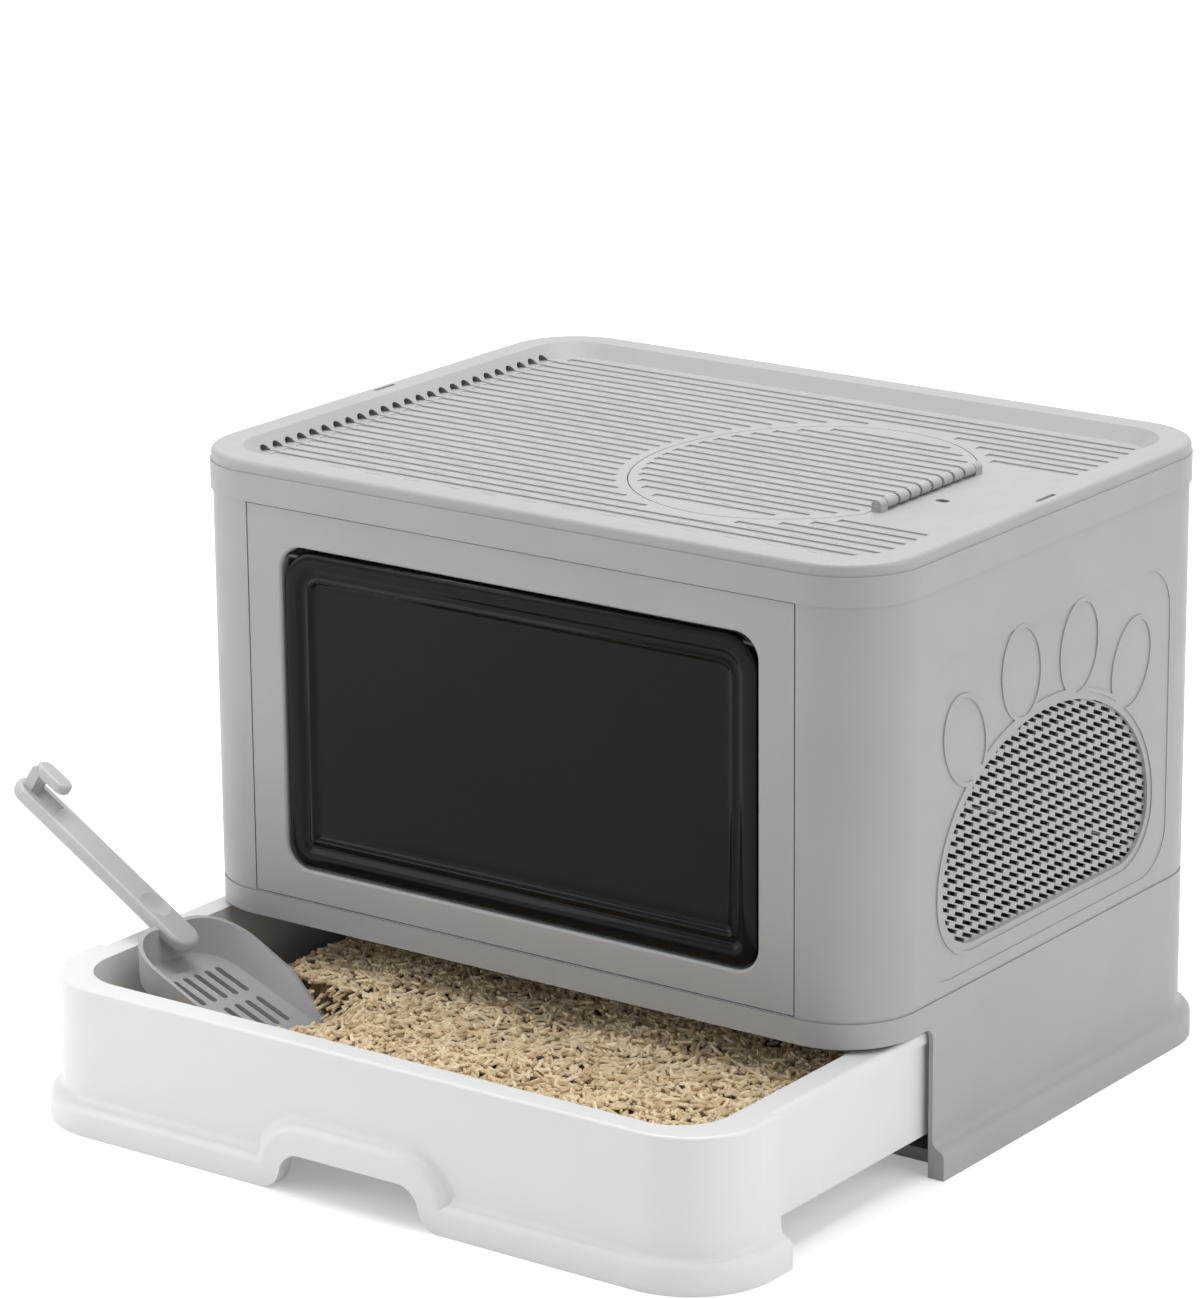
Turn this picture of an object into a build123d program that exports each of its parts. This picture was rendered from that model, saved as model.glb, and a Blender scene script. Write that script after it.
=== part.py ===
"""Foldable drawer-type litter box.

A grey base frame stands on the floor and takes a white litter drawer from the front.
Two C-shaped side panels carry the rounded corners, and a flat front and back panel
fold inwards on pins.  The front panel holds a smoked flap door, each side a paw-shaped
vent with a slotted grille, and the ribbed lid a hinged hatch.  The drawer is drawn out
and a scoop stands in it, as the box is shown in use.

Frame: millimetres, X to the right, Y to the back, Z up, with the origin on the floor
under the middle of the body.
"""

import os
from math import atan2, ceil, cos, degrees, radians, sin, sqrt, tan

from build123d import *

os.makedirs("parts", exist_ok=True)

# Body: the outline that base, drawer front and panels share
BODY_WIDTH = 500.0
BODY_DEPTH = 387.0
CORNER_RADIUS = 48.0
SEAM_HEIGHT = 110.0  # floor to the seam between base and panels
PANEL_HEIGHT = 247.0  # base seam to lid seam
PANEL_WALL = 3.0
SIDE_ARM = 51.0  # how far a side panel reaches round its corners
SEAM_GAP = 0.9
SEAM_STEP = 0.8  # rabbet along the seam between base and panels
CUT_OVERRUN = 5.0
ROUND_SHARE = 0.8  # most of a wall that a rounded edge may take

# Base frame
BASE_WALL = 3.0
BAND_HEIGHT = 16.0  # bar over the drawer mouth
MOUTH_DEPTH = 68.0  # how far back the drawer mouth opens the side walls
MOUTH_RADIUS = 8.0
LEDGE_WIDTH = 19.0
LEDGE_THICKNESS = 3.0
FLOOR_THICKNESS = 3.0
SILL_HEIGHT = 8.0
SILL_SETBACK = 88.0  # front face to the sill of the floor pan
RUNNER_WIDTH = 14.0
RUNNER_SPACING = 300.0
FOOT_FLARE = 8.0
FOOT_SHOULDER = 13.0
FOOT_HEIGHT = 24.0

# Drawer
DRAWER_PULL = 156.0  # how far it is drawn out
DRAWER_GAP = 1.0
RUNNER_GAP = 0.3
TRAY_WALL = 3.0
TRAY_SIDE_GAP = 4.0
TRAY_BACK_GAP = 5.5
TRAY_BOTTOM = 25.0
TRAY_RADIUS = 38.0
RIM_HEIGHT = 91.0
RIM_SIDE = 22.0  # body side to the basin
RIM_FRONT = 15.0
RIM_BACK = 14.0
RIM_ROUND = 2.2
RIM_LIP = 2.0  # how far the rim stands over the tray's sides
RIM_LIP_HEIGHT = 8.0
BASIN_RADIUS = 34.0
BASIN_DRAFT = 8.0
NOTCH_TOP = 72.0
NOTCH_BOTTOM = 132.0
NOTCH_HEIGHT = 25.0

# Litter
LITTER_DEPTH = 44.0
LITTER_GAP = 0.6
LITTER_LOW = 7.6  # depth of the thin layer under the scoop
LITTER_START = 138.0  # body side to the toe of the heap beside the scoop
LITTER_SLOPE = 36.0

# Scoop
SCOOP_PITCH = 21.5  # degrees, pan floor below level
SCOOP_ROLL = 5.0
SCOOP_BACK = 32.0  # body side to the back of the pan floor
SCOOP_OUT = 64.5  # body front to the middle of the pan
SCOOP_TIP_GAP = 0.5
PAN_LENGTH = 104.0
PAN_WIDTH = 84.0
PAN_DEPTH = 23.0
PAN_DRAFT = 20.0  # degrees, lean of the walls
PAN_LIP = 3.4
PAN_WALL = 2.2
PAN_RADIUS = 26.0
PAN_SHOULDER = 58.0  # length of high wall before it falls to the lip
PAN_SHOULDER_DEPTH = 18.0
STRIP_RISE = 2.0
STRIP_MARGIN = 5.0
SCOOP_SLOT_LENGTH = 27.0
SCOOP_SLOT_WIDTH = 4.8
SCOOP_SLOT_PITCH = 10.5
SCOOP_SLOT_ROWS = 2
SCOOP_SLOT_COLUMNS = 5
SCOOP_SLOT_START = 22.0
SCOOP_SLOT_BAR = 7.0
HANDLE_LENGTH = 160.0
HANDLE_WIDTH = 24.0
HANDLE_THICKNESS = 9.0
HANDLE_ROUND = 3.5
HANDLE_PITCH = 9.0  # degrees above the pan floor
HANDLE_NOSE = 14.0  # how far the nose reaches into the pan
DENT_WIDTH = 20.0
DENT_DEPTH = 1.6
DENT_SETBACK = 37.0  # nose to the middle of the thumb dent
HOOK_POST = 7.0
HOOK_RISE = 18.0
HOOK_REACH = 27.0
HOOK_THICKNESS = 7.0
HOOK_WIDTH = 13.0
HOOK_ROUND = 2.4
HOOK_HOLE_WIDTH = 11.0

# Folding hinges of the front and back panels
HINGE_RISE = 5.5  # axis above the base seam
HINGE_SETBACK = 7.5  # axis behind the panel face
KNUCKLE_RADIUS = 4.5
KNUCKLE_LENGTH = 30.0
KNUCKLE_SPACING = 250.0
LUG_LENGTH = 8.0
KNUCKLE_GAP = 0.5
HINGE_PIN_RADIUS = 2.0
PIN_GAP = 0.1

# Front panel and flap door
DOOR_WIDTH = 346.5
DOOR_HEIGHT = 203.0
DOOR_SILL = 20.5  # base seam to the door opening
DOOR_RADIUS = 16.0
DOOR_ROUND = 2.0
LIP_WALL = 3.0
LIP_DEPTH = 4.5
FLAP_GAP = 1.5
FLAP_SETBACK = 1.0
FLAP_DEPTH = 6.0
FLAP_WALL = 2.8
FLAP_BORDER = 11.0
FLAP_STEP = 1.4
FLAP_SHELF = 7.0
FLAP_ROUND = 1.6
FLAP_TOP_RADIUS = 22.0  # lets the top corners turn past the opening
FLAP_ROD_RADIUS = 1.5
FLAP_ROD_DROP = 6.6  # rod axis below the top of the opening
FLAP_ROD_SEAT = 2.5
FLAP_EAR = 4.5  # flap above its rod axis

# Back panel
BACK_FIELD_MARGIN = 26.0
BACK_FIELD_RADIUS = 16.0
FIELD_DEPTH = 0.6

# Side panels and vents
TONGUE_LENGTH = 40.0
TONGUE_SPACING = 180.0
TONGUE_DEPTH = 6.0
TONGUE_WALL = 3.0
TONGUE_RISE = 24.0
TONGUE_GAP = 0.4
PAW_FIELD_WIDTH = 276.0
PAW_FIELD_HEIGHT = 195.0
PAW_FIELD_FOOT = 8.0  # base seam to the field
PAW_FIELD_RADIUS = 30.0
PAW_PAD_WIDTH = 232.0
PAW_PAD_HEIGHT = 122.0
PAW_PAD_FOOT = 24.0  # base seam to the pad opening
PAW_PAD_SHOULDER = 36.0
PAW_PAD_RADIUS = 34.0
PAW_COLLAR = 7.0
PAW_RELIEF = 0.9
PAW_LINE = 2.6  # width of the raised outline
TOE_WIDTH = 45.0
TOE_LENGTH = 60.0
TOE_ACROSS_SHARES = (-0.403, -0.14, 0.14, 0.403)
TOE_UP_SHARES = (1.03, 1.237, 1.237, 1.03)
TOE_LEANS = (24.0, 8.0, -8.0, -24.0)
GRILLE_THICKNESS = 1.6
GRILLE_LAP = 5.0
GRILLE_EDGE = 2.0
GRILLE_SLOT_LENGTH = 11.5
GRILLE_SLOT_WIDTH = 2.4
GRILLE_SLOT_LEAN = -23.0  # degrees, falling towards the back
GRILLE_PITCH_ACROSS = 8.5
GRILLE_PITCH_UP = 7.6
GRILLE_SLIVER_SHARE = 0.2  # least part of a slot that is cut at the pad's edge

# Lid
LID_HEIGHT = 25.0
LID_PROUD = 1.5
LID_WALL = 3.0
LID_STEP_HEIGHT = 17.6  # lid seam to the step line
LID_STEP = 0.8
LID_ROUND = 3.0
LID_RIM = 18.0
LID_RECESS = 8.5
LID_RECESS_DRAFT = 8.0
LID_RECESS_RADIUS = 32.0
LID_FLOOR = 3.4
LID_KEY_WALL = 3.0
LID_KEY_DEPTH = 8.0
LID_KEY_LENGTH = 240.0
RIM_SLOT_LENGTH = 20.0
RIM_SLOT_WIDTH = 3.0
RIM_SLOT_DEPTH = 2.0
RIM_SLOT_INSET = 6.0
GROOVE_PITCH = 11.9
GROOVE_WIDTH = 6.0
GROOVE_DEPTH = 0.9
GROOVE_MARGIN = 5.0
DRAIN_RADIUS = 4.1  # arch at the foot of the recess wall, over the end of a groove
DRAIN_REACH = 2.5  # how far an arch cuts into the ribs

# Hatch
HATCH_CENTRE = 75.0  # to the right of the lid's middle
HATCH_HALF_WIDTH = 100.0
HATCH_HALF_DEPTH = 115.0
HATCH_EDGE = 84.0  # from its centre to the straight hinge edge
HATCH_GAP = 0.7
HATCH_BORDER = 5.0
HATCH_SEAT = 6.0
HATCH_SEAT_THICKNESS = 2.4
APRON_WIDTH = 66.0
APRON_DEPTH = 156.0
BARREL_RADIUS = 3.4
BARREL_LENGTH = 96.0
BARREL_OFFSET = 4.0  # hinge axis beyond the straight edge
BARREL_RISE = 3.8  # hinge axis above the ribs
HATCH_LUG = 7.0
HATCH_ROD_RADIUS = 1.6
BARREL_NOTCH = 2.4  # gap between two knuckles of the hatch
KEYHOLE_LENGTH = 9.0
KEYHOLE_WIDTH = 6.0
KEYHOLE_OFFSET = 18.0

# Places that follow from the sizes
HALF_WIDTH = BODY_WIDTH / 2
FRONT = -BODY_DEPTH / 2
BACK = BODY_DEPTH / 2
LID_SEAM = SEAM_HEIGHT + PANEL_HEIGHT
PLATE_WIDTH = BODY_WIDTH - 2 * SIDE_ARM - 2 * SEAM_GAP
PLATE_HEIGHT = PANEL_HEIGHT - 2 * SEAM_GAP
PLATE_FOOT = SEAM_HEIGHT + SEAM_GAP
HINGE_Z = SEAM_HEIGHT + HINGE_RISE
HINGE_Y = BACK - HINGE_SETBACK
DOOR_MIDDLE = SEAM_HEIGHT + DOOR_SILL + DOOR_HEIGHT / 2
DRAWER_FLOOR = Plane((0, -DRAWER_PULL, 0))


def body_outline(inset=0):
    """Rounded rectangle of the body, drawn in by inset."""
    with BuildSketch() as outline:
        RectangleRounded(BODY_WIDTH - 2 * inset, BODY_DEPTH - 2 * inset, CORNER_RADIUS - inset)
    return outline.sketch


def foot_section(plane, wall):
    """Flared foot on a section plane: X outwards from the wall face, Y upwards.

    The face runs straight up to the shoulder, then two equal arcs that turn opposite
    ways bring it back to the wall.
    """
    rise = FOOT_HEIGHT - FOOT_SHOULDER
    turn = 2 * atan2(FOOT_FLARE, rise)
    radius = rise / 2 / sin(turn)
    with BuildSketch(plane) as section:
        with BuildLine():
            face = Line((FOOT_FLARE, 0), (FOOT_FLARE, FOOT_SHOULDER))
            shoulder = JernArc(face @ 1, face % 1, radius, degrees(turn))
            cove = JernArc(shoulder @ 1, shoulder % 1, radius, -degrees(turn))
            Polyline(cove @ 1, (-wall, FOOT_HEIGHT), (-wall, 0), face @ 0)
        make_face()
    return section.sketch


def hinge_places():
    """Middles of the two knuckles along a panel's foot."""
    return (-KNUCKLE_SPACING / 2, KNUCKLE_SPACING / 2)


def paw_pad(margin=0):
    """Pad of the paw, grown by margin: an elliptic dome over a rounded foot."""
    dome = PAW_PAD_HEIGHT - PAW_PAD_SHOULDER
    width = PAW_PAD_WIDTH + 2 * margin
    with BuildSketch() as pad:
        with Locations((0, PAW_PAD_SHOULDER)):
            Ellipse(width / 2, dome + margin)
            Rectangle(width, width, align=(Align.CENTER, Align.MAX), mode=Mode.SUBTRACT)
        with Locations((0, -margin)):
            RectangleRounded(
                width,
                PAW_PAD_SHOULDER + PAW_PAD_RADIUS + 2 * margin,
                PAW_PAD_RADIUS + margin,
                align=(Align.CENTER, Align.MIN),
            )
    return pad.sketch


def hatch_outline(margin=0):
    """Ellipse of the hatch, grown by margin and cut straight along the hinge edge."""
    with BuildSketch() as outline:
        with Locations((HATCH_CENTRE, 0)):
            Ellipse(HATCH_HALF_WIDTH + margin, HATCH_HALF_DEPTH + margin)
        with Locations((HATCH_CENTRE + HATCH_EDGE + margin, 0)):
            Rectangle(
                HATCH_HALF_WIDTH,
                2 * (HATCH_HALF_DEPTH + margin) + CUT_OVERRUN,
                align=(Align.MIN, Align.CENTER),
                mode=Mode.SUBTRACT,
            )
    return outline.sketch


# Base frame: skirt with a drawer mouth, floor pan, runners, ledge and hinge lugs
MOUTH_END = FRONT + MOUTH_DEPTH
SILL_Y = FRONT + SILL_SETBACK
FOOT_START = (-HALF_WIDTH, MOUTH_END, 0)
INNER_BACK = BACK - BASE_WALL
FLOOR_DEPTH = INNER_BACK - SILL_Y

with BuildPart() as base_frame:
    with BuildSketch():
        add(body_outline())
        add(body_outline(BASE_WALL), mode=Mode.SUBTRACT)
    extrude(amount=SEAM_HEIGHT)
    with BuildSketch(Plane.XY.offset(SEAM_HEIGHT - SEAM_STEP)):
        add(body_outline(-CUT_OVERRUN))
        add(body_outline(SEAM_STEP), mode=Mode.SUBTRACT)
    extrude(amount=SEAM_STEP, mode=Mode.SUBTRACT)
    sweep(
        foot_section(Plane(FOOT_START, x_dir=(-1, 0, 0), z_dir=(0, 1, 0)), BASE_WALL / 2),
        path=body_outline().wires()[0],
    )
    with BuildSketch(Plane.YZ) as mouth:
        with Locations((MOUTH_END, SEAM_HEIGHT - BAND_HEIGHT)):
            Rectangle(
                MOUTH_DEPTH + FOOT_FLARE + CUT_OVERRUN,
                SEAM_HEIGHT,
                align=(Align.MAX, Align.MAX),
            )
        fillet(mouth.vertices().sort_by(Axis.Y)[-2:].sort_by(Axis.X)[-1], MOUTH_RADIUS)
    extrude(amount=BODY_WIDTH, both=True, mode=Mode.SUBTRACT)
    with BuildSketch(Plane.XY.offset(SEAM_HEIGHT - LEDGE_THICKNESS)):
        add(body_outline(BASE_WALL / 2))
        add(body_outline(LEDGE_WIDTH), mode=Mode.SUBTRACT)
        for tongue_side in (-1, 1):
            with Locations((tongue_side * (HALF_WIDTH - PANEL_WALL - TONGUE_WALL / 2), 0)):
                with GridLocations(0, TONGUE_SPACING, 1, 2):
                    Rectangle(
                        TONGUE_WALL + 2 * TONGUE_GAP,
                        TONGUE_LENGTH + 2 * TONGUE_GAP,
                        mode=Mode.SUBTRACT,
                    )
    extrude(amount=LEDGE_THICKNESS)
    with BuildSketch():
        add(body_outline(BASE_WALL / 2))
        with Locations((0, SILL_Y)):
            Rectangle(BODY_WIDTH, BODY_DEPTH, align=(Align.CENTER, Align.MAX), mode=Mode.SUBTRACT)
    extrude(amount=FLOOR_THICKNESS)
    with Locations((0, SILL_Y, 0)):
        Box(
            BODY_WIDTH - BASE_WALL,
            BASE_WALL,
            SILL_HEIGHT,
            align=(Align.CENTER, Align.MIN, Align.MIN),
        )
    with BuildSketch():
        with Locations((0, SILL_Y + FLOOR_DEPTH / 2)):
            with GridLocations(RUNNER_SPACING, 0, 2, 1):
                Rectangle(RUNNER_WIDTH, FLOOR_DEPTH)
    extrude(amount=TRAY_BOTTOM - RUNNER_GAP)
    for end in (-1, 1):
        for middle in hinge_places():
            with BuildSketch(Plane.YZ.offset(middle)):
                with Locations((end * HINGE_Y, HINGE_Z)):
                    Circle(KNUCKLE_RADIUS)
                    Rectangle(
                        2 * KNUCKLE_RADIUS,
                        HINGE_RISE + LEDGE_THICKNESS / 2,
                        align=(Align.CENTER, Align.MAX),
                    )
                    Circle(HINGE_PIN_RADIUS + PIN_GAP, mode=Mode.SUBTRACT)
            extrude(amount=KNUCKLE_LENGTH / 2 + KNUCKLE_GAP + LUG_LENGTH, both=True)
            with BuildSketch(Plane.YZ.offset(middle)):
                with Locations((end * HINGE_Y, SEAM_HEIGHT)):
                    Rectangle(
                        2 * KNUCKLE_RADIUS + CUT_OVERRUN,
                        HINGE_RISE + KNUCKLE_RADIUS + CUT_OVERRUN,
                        align=(Align.CENTER, Align.MIN),
                    )
            extrude(amount=KNUCKLE_LENGTH / 2 + KNUCKLE_GAP, both=True, mode=Mode.SUBTRACT)

base_frame.part.label = "base_frame"
export_step(base_frame.part, "parts/base_frame.step")


# Hinge pins: one pair for the front panel and one for the back panel
def hinge_pins(end):
    """Two steel pins along the hinge axis at the front (-1) or back (1) edge."""
    with BuildPart() as pins:
        for middle in hinge_places():
            with BuildSketch(Plane.YZ.offset(middle)):
                with Locations((end * HINGE_Y, HINGE_Z)):
                    Circle(HINGE_PIN_RADIUS)
            extrude(amount=KNUCKLE_LENGTH / 2 + KNUCKLE_GAP + LUG_LENGTH, both=True)
    return pins


front_hinge_pins = hinge_pins(-1)
front_hinge_pins.part.label = "front_hinge_pins"
export_step(front_hinge_pins.part, "parts/front_hinge_pins.step")

back_hinge_pins = hinge_pins(1)
back_hinge_pins.part.label = "back_hinge_pins"
export_step(back_hinge_pins.part, "parts/back_hinge_pins.step")


# Drawer: a front that wraps the corners, a hollow rim, and a tapered basin
FASCIA_END = MOUTH_END - DRAWER_GAP
TRAY_HALF = HALF_WIDTH - BASE_WALL - TRAY_SIDE_GAP
TRAY_BACK = BACK - BASE_WALL - TRAY_BACK_GAP
BASIN_WIDTH = BODY_WIDTH - 2 * RIM_SIDE
BASIN_FRONT = FRONT + RIM_FRONT
BASIN_BACK = TRAY_BACK - RIM_BACK
BASIN_DEPTH = BASIN_BACK - BASIN_FRONT
BASIN_MIDDLE = (BASIN_FRONT + BASIN_BACK) / 2


def fascia_outline(inset=0):
    """Front slice of the body outline, which the drawer front fills."""
    with BuildSketch() as outline:
        add(body_outline(inset))
        with Locations((0, FASCIA_END - inset)):
            Rectangle(BODY_WIDTH, BODY_DEPTH, align=(Align.CENTER, Align.MIN), mode=Mode.SUBTRACT)
    return outline.sketch


def drawer_outline(inset=0, lip=0):
    """Drawer front and tray together, drawn in by inset, with the tray's sides out by lip."""
    with BuildSketch() as outline:
        with Locations((0, TRAY_BACK - inset)):
            RectangleRounded(
                2 * (TRAY_HALF - inset + lip),
                TRAY_BACK - FRONT - CORNER_RADIUS / 2,
                TRAY_RADIUS - inset,
                align=(Align.CENTER, Align.MAX),
            )
        add(fascia_outline(inset))
    return outline.sketch


def basin_outline(inset=0):
    """Rounded rectangle of the basin, drawn in by inset."""
    with BuildSketch() as outline:
        with Locations((0, BASIN_MIDDLE)):
            RectangleRounded(BASIN_WIDTH - 2 * inset, BASIN_DEPTH - 2 * inset, BASIN_RADIUS - inset)
    return outline.sketch


NOTCH_RUN = (NOTCH_BOTTOM - NOTCH_TOP) / 2
NOTCH_TURN = 2 * atan2(NOTCH_HEIGHT, NOTCH_RUN)
NOTCH_RADIUS = NOTCH_RUN / 2 / sin(NOTCH_TURN)
NOTCH_BEND = (
    NOTCH_BOTTOM / 2 - NOTCH_RADIUS * sin(NOTCH_TURN / 2),
    NOTCH_RADIUS * (1 - cos(NOTCH_TURN / 2)),
)
NOTCH_MIDDLE = (NOTCH_BOTTOM / 2 - NOTCH_RUN / 2, NOTCH_HEIGHT / 2)
DRAWER_FACE = FRONT - DRAWER_PULL


def notch_rise(side, y):
    """Points of the S-shaped flank of the hand notch, from the floor up to its roof."""
    bend_x, bend_z = NOTCH_BEND
    middle_x, middle_z = NOTCH_MIDDLE
    return [
        (side * NOTCH_BOTTOM / 2, y, 0),
        (side * bend_x, y, bend_z),
        (side * middle_x, y, middle_z),
        (side * (2 * middle_x - bend_x), y, NOTCH_HEIGHT - bend_z),
        (side * NOTCH_TOP / 2, y, NOTCH_HEIGHT),
    ]


DRAWER_FOOT_START = (HALF_WIDTH, FASCIA_END - DRAWER_PULL, 0)

with BuildPart() as drawer_tray:
    with BuildSketch(DRAWER_FLOOR.offset(TRAY_BOTTOM)):
        add(drawer_outline())
        add(drawer_outline(TRAY_WALL), mode=Mode.SUBTRACT)
    extrude(amount=RIM_HEIGHT - TRAY_BOTTOM)
    with BuildSketch(DRAWER_FLOOR):
        add(fascia_outline())
        add(body_outline(TRAY_WALL), mode=Mode.SUBTRACT)
    extrude(amount=TRAY_BOTTOM)
    with BuildSketch(DRAWER_FLOOR.offset(RIM_HEIGHT - RIM_LIP_HEIGHT)):
        add(drawer_outline(lip=RIM_LIP))
        add(drawer_outline(TRAY_WALL), mode=Mode.SUBTRACT)
    extrude(amount=RIM_LIP_HEIGHT)
    with BuildSketch(DRAWER_FLOOR.offset(RIM_HEIGHT - TRAY_WALL)):
        add(drawer_outline(lip=RIM_LIP))
    extrude(amount=TRAY_WALL)
    fillet(
        drawer_tray.faces().sort_by(Axis.Z)[-1].outer_wire().edges(),
        min(RIM_ROUND, ROUND_SHARE * TRAY_WALL),
    )
    with BuildSketch(DRAWER_FLOOR.offset(TRAY_BOTTOM)):
        add(basin_outline(BASIN_DRAFT - TRAY_WALL))
    with BuildSketch(DRAWER_FLOOR.offset(RIM_HEIGHT - TRAY_WALL)):
        add(basin_outline(-TRAY_WALL))
    loft()
    with BuildSketch(DRAWER_FLOOR.offset(TRAY_BOTTOM + TRAY_WALL)):
        add(basin_outline(BASIN_DRAFT))
    with BuildSketch(DRAWER_FLOOR.offset(RIM_HEIGHT)):
        add(basin_outline())
    loft(mode=Mode.SUBTRACT)
    right_flank = notch_rise(1, DRAWER_FACE)
    left_flank = notch_rise(-1, DRAWER_FACE)
    with BuildLine() as drawer_foot_path:
        right_run = Line(DRAWER_FOOT_START, (HALF_WIDTH, DRAWER_FACE + CORNER_RADIUS, 0))
        right_corner = JernArc(right_run @ 1, right_run % 1, CORNER_RADIUS, -90)
        Line(right_corner @ 1, right_flank[0])
        ThreePointArc(*right_flank[:3])
        ThreePointArc(*right_flank[2:])
        Line(right_flank[-1], left_flank[-1])
        ThreePointArc(*reversed(left_flank[2:]))
        ThreePointArc(*reversed(left_flank[:3]))
        left_front = Line(left_flank[0], (CORNER_RADIUS - HALF_WIDTH, DRAWER_FACE, 0))
        left_corner = JernArc(left_front @ 1, left_front % 1, CORNER_RADIUS, -90)
        Line(left_corner @ 1, (-HALF_WIDTH, FASCIA_END - DRAWER_PULL, 0))
    sweep(
        foot_section(Plane(DRAWER_FOOT_START, x_dir=(1, 0, 0), z_dir=(0, -1, 0)), TRAY_WALL / 2),
        path=drawer_foot_path.wires()[0],
    )
    with BuildSketch(Plane.XZ.offset(-DRAWER_FACE)):
        with BuildLine():
            ThreePointArc(*[(x, z) for x, _, z in right_flank[:3]])
            ThreePointArc(*[(x, z) for x, _, z in right_flank[2:]])
            Line((NOTCH_TOP / 2, NOTCH_HEIGHT), (-NOTCH_TOP / 2, NOTCH_HEIGHT))
            ThreePointArc(*[(x, z) for x, _, z in reversed(left_flank[2:])])
            ThreePointArc(*[(x, z) for x, _, z in reversed(left_flank[:3])])
            Polyline(
                (-NOTCH_BOTTOM / 2, 0),
                (-NOTCH_BOTTOM / 2, -CUT_OVERRUN),
                (NOTCH_BOTTOM / 2, -CUT_OVERRUN),
                (NOTCH_BOTTOM / 2, 0),
            )
        make_face()
    extrude(amount=FOOT_FLARE + CUT_OVERRUN, both=True, mode=Mode.SUBTRACT)

drawer_tray.part.label = "drawer_tray"
export_step(drawer_tray.part, "parts/drawer_tray.step")


# Litter: the bed in the basin, which slopes down to a thin layer under the scoop
LITTER_FOOT = TRAY_BOTTOM + TRAY_WALL + LITTER_GAP
LITTER_LEFT = LITTER_START - HALF_WIDTH
LITTER_RUN = (LITTER_DEPTH - LITTER_LOW) / tan(radians(LITTER_SLOPE))
LITTER_DRAFT = BASIN_DRAFT * (1 - LITTER_DEPTH / (RIM_HEIGHT - TRAY_BOTTOM - TRAY_WALL))

with BuildPart() as litter_fill:
    with BuildSketch(DRAWER_FLOOR.offset(LITTER_FOOT)):
        add(basin_outline(BASIN_DRAFT + LITTER_GAP))
    with BuildSketch(DRAWER_FLOOR.offset(LITTER_FOOT + LITTER_DEPTH)):
        add(basin_outline(LITTER_DRAFT + LITTER_GAP))
    loft()
    with BuildSketch(Plane.XZ.offset(DRAWER_PULL)):
        with BuildLine():
            Polyline(
                (-HALF_WIDTH, LITTER_FOOT + LITTER_LOW),
                (LITTER_LEFT, LITTER_FOOT + LITTER_LOW),
                (LITTER_LEFT + LITTER_RUN, LITTER_FOOT + LITTER_DEPTH),
                (LITTER_LEFT + LITTER_RUN, LITTER_FOOT + LITTER_DEPTH + CUT_OVERRUN),
                (-HALF_WIDTH, LITTER_FOOT + LITTER_DEPTH + CUT_OVERRUN),
                close=True,
            )
        make_face()
    extrude(amount=BODY_DEPTH, both=True, mode=Mode.SUBTRACT)

litter_fill.part.label = "litter_fill"
export_step(litter_fill.part, "parts/litter_fill.step")


# Scoop: a slotted pan with leaning walls, a flat handle and a hanging hook
PITCH = radians(SCOOP_PITCH)
ROLL = radians(SCOOP_ROLL)
SCOOP_AXIS = Vector(cos(PITCH), 0, -sin(PITCH))
SCOOP_UP = Vector(sin(PITCH) * cos(ROLL), sin(ROLL), cos(PITCH) * cos(ROLL))
SCOOP_FLOOR = LITTER_FOOT + LITTER_LOW + SCOOP_TIP_GAP
SCOOP_LIFT = PAN_LENGTH * sin(PITCH) + PAN_WIDTH / 2 * sin(ROLL)
SCOOP_PLANE = Plane(
    (SCOOP_BACK - HALF_WIDTH, FRONT - SCOOP_OUT, SCOOP_FLOOR + SCOOP_LIFT),
    x_dir=SCOOP_AXIS,
    z_dir=SCOOP_UP,
)
SCOOP_SIDE = Plane(SCOOP_PLANE.origin, x_dir=SCOOP_PLANE.x_dir, z_dir=-SCOOP_PLANE.y_dir)
HANDLE_LIFT = radians(HANDLE_PITCH)
HANDLE_PLANE = Plane(
    SCOOP_PLANE.from_local_coords((HANDLE_NOSE, 0, PAN_DEPTH - HANDLE_THICKNESS)),
    x_dir=SCOOP_PLANE.x_dir * cos(HANDLE_LIFT) - SCOOP_PLANE.z_dir * sin(HANDLE_LIFT),
    z_dir=SCOOP_PLANE.x_dir * sin(HANDLE_LIFT) + SCOOP_PLANE.z_dir * cos(HANDLE_LIFT),
)


def pan_outline(inset=0):
    """Plan of the pan floor, drawn in by inset, run on past the open end."""
    with BuildSketch() as outline:
        with Locations((inset, 0)):
            RectangleRounded(
                PAN_LENGTH + 2 * PAN_RADIUS,
                PAN_WIDTH - 2 * inset,
                PAN_RADIUS - inset,
                align=(Align.MIN, Align.CENTER),
            )
    return outline.sketch


DENT_RADIUS = (DENT_WIDTH**2 / 4 + DENT_DEPTH**2) / (2 * DENT_DEPTH)
DENT_MIDDLE = (-DENT_SETBACK, 0, HANDLE_THICKNESS - DENT_DEPTH + DENT_RADIUS)
HOOK_MIDDLE = HOOK_WIDTH / 2 - HANDLE_LENGTH + HOOK_REACH / 2
HANDLE_NORMAL = Axis(HANDLE_PLANE.origin, HANDLE_PLANE.z_dir)

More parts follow.
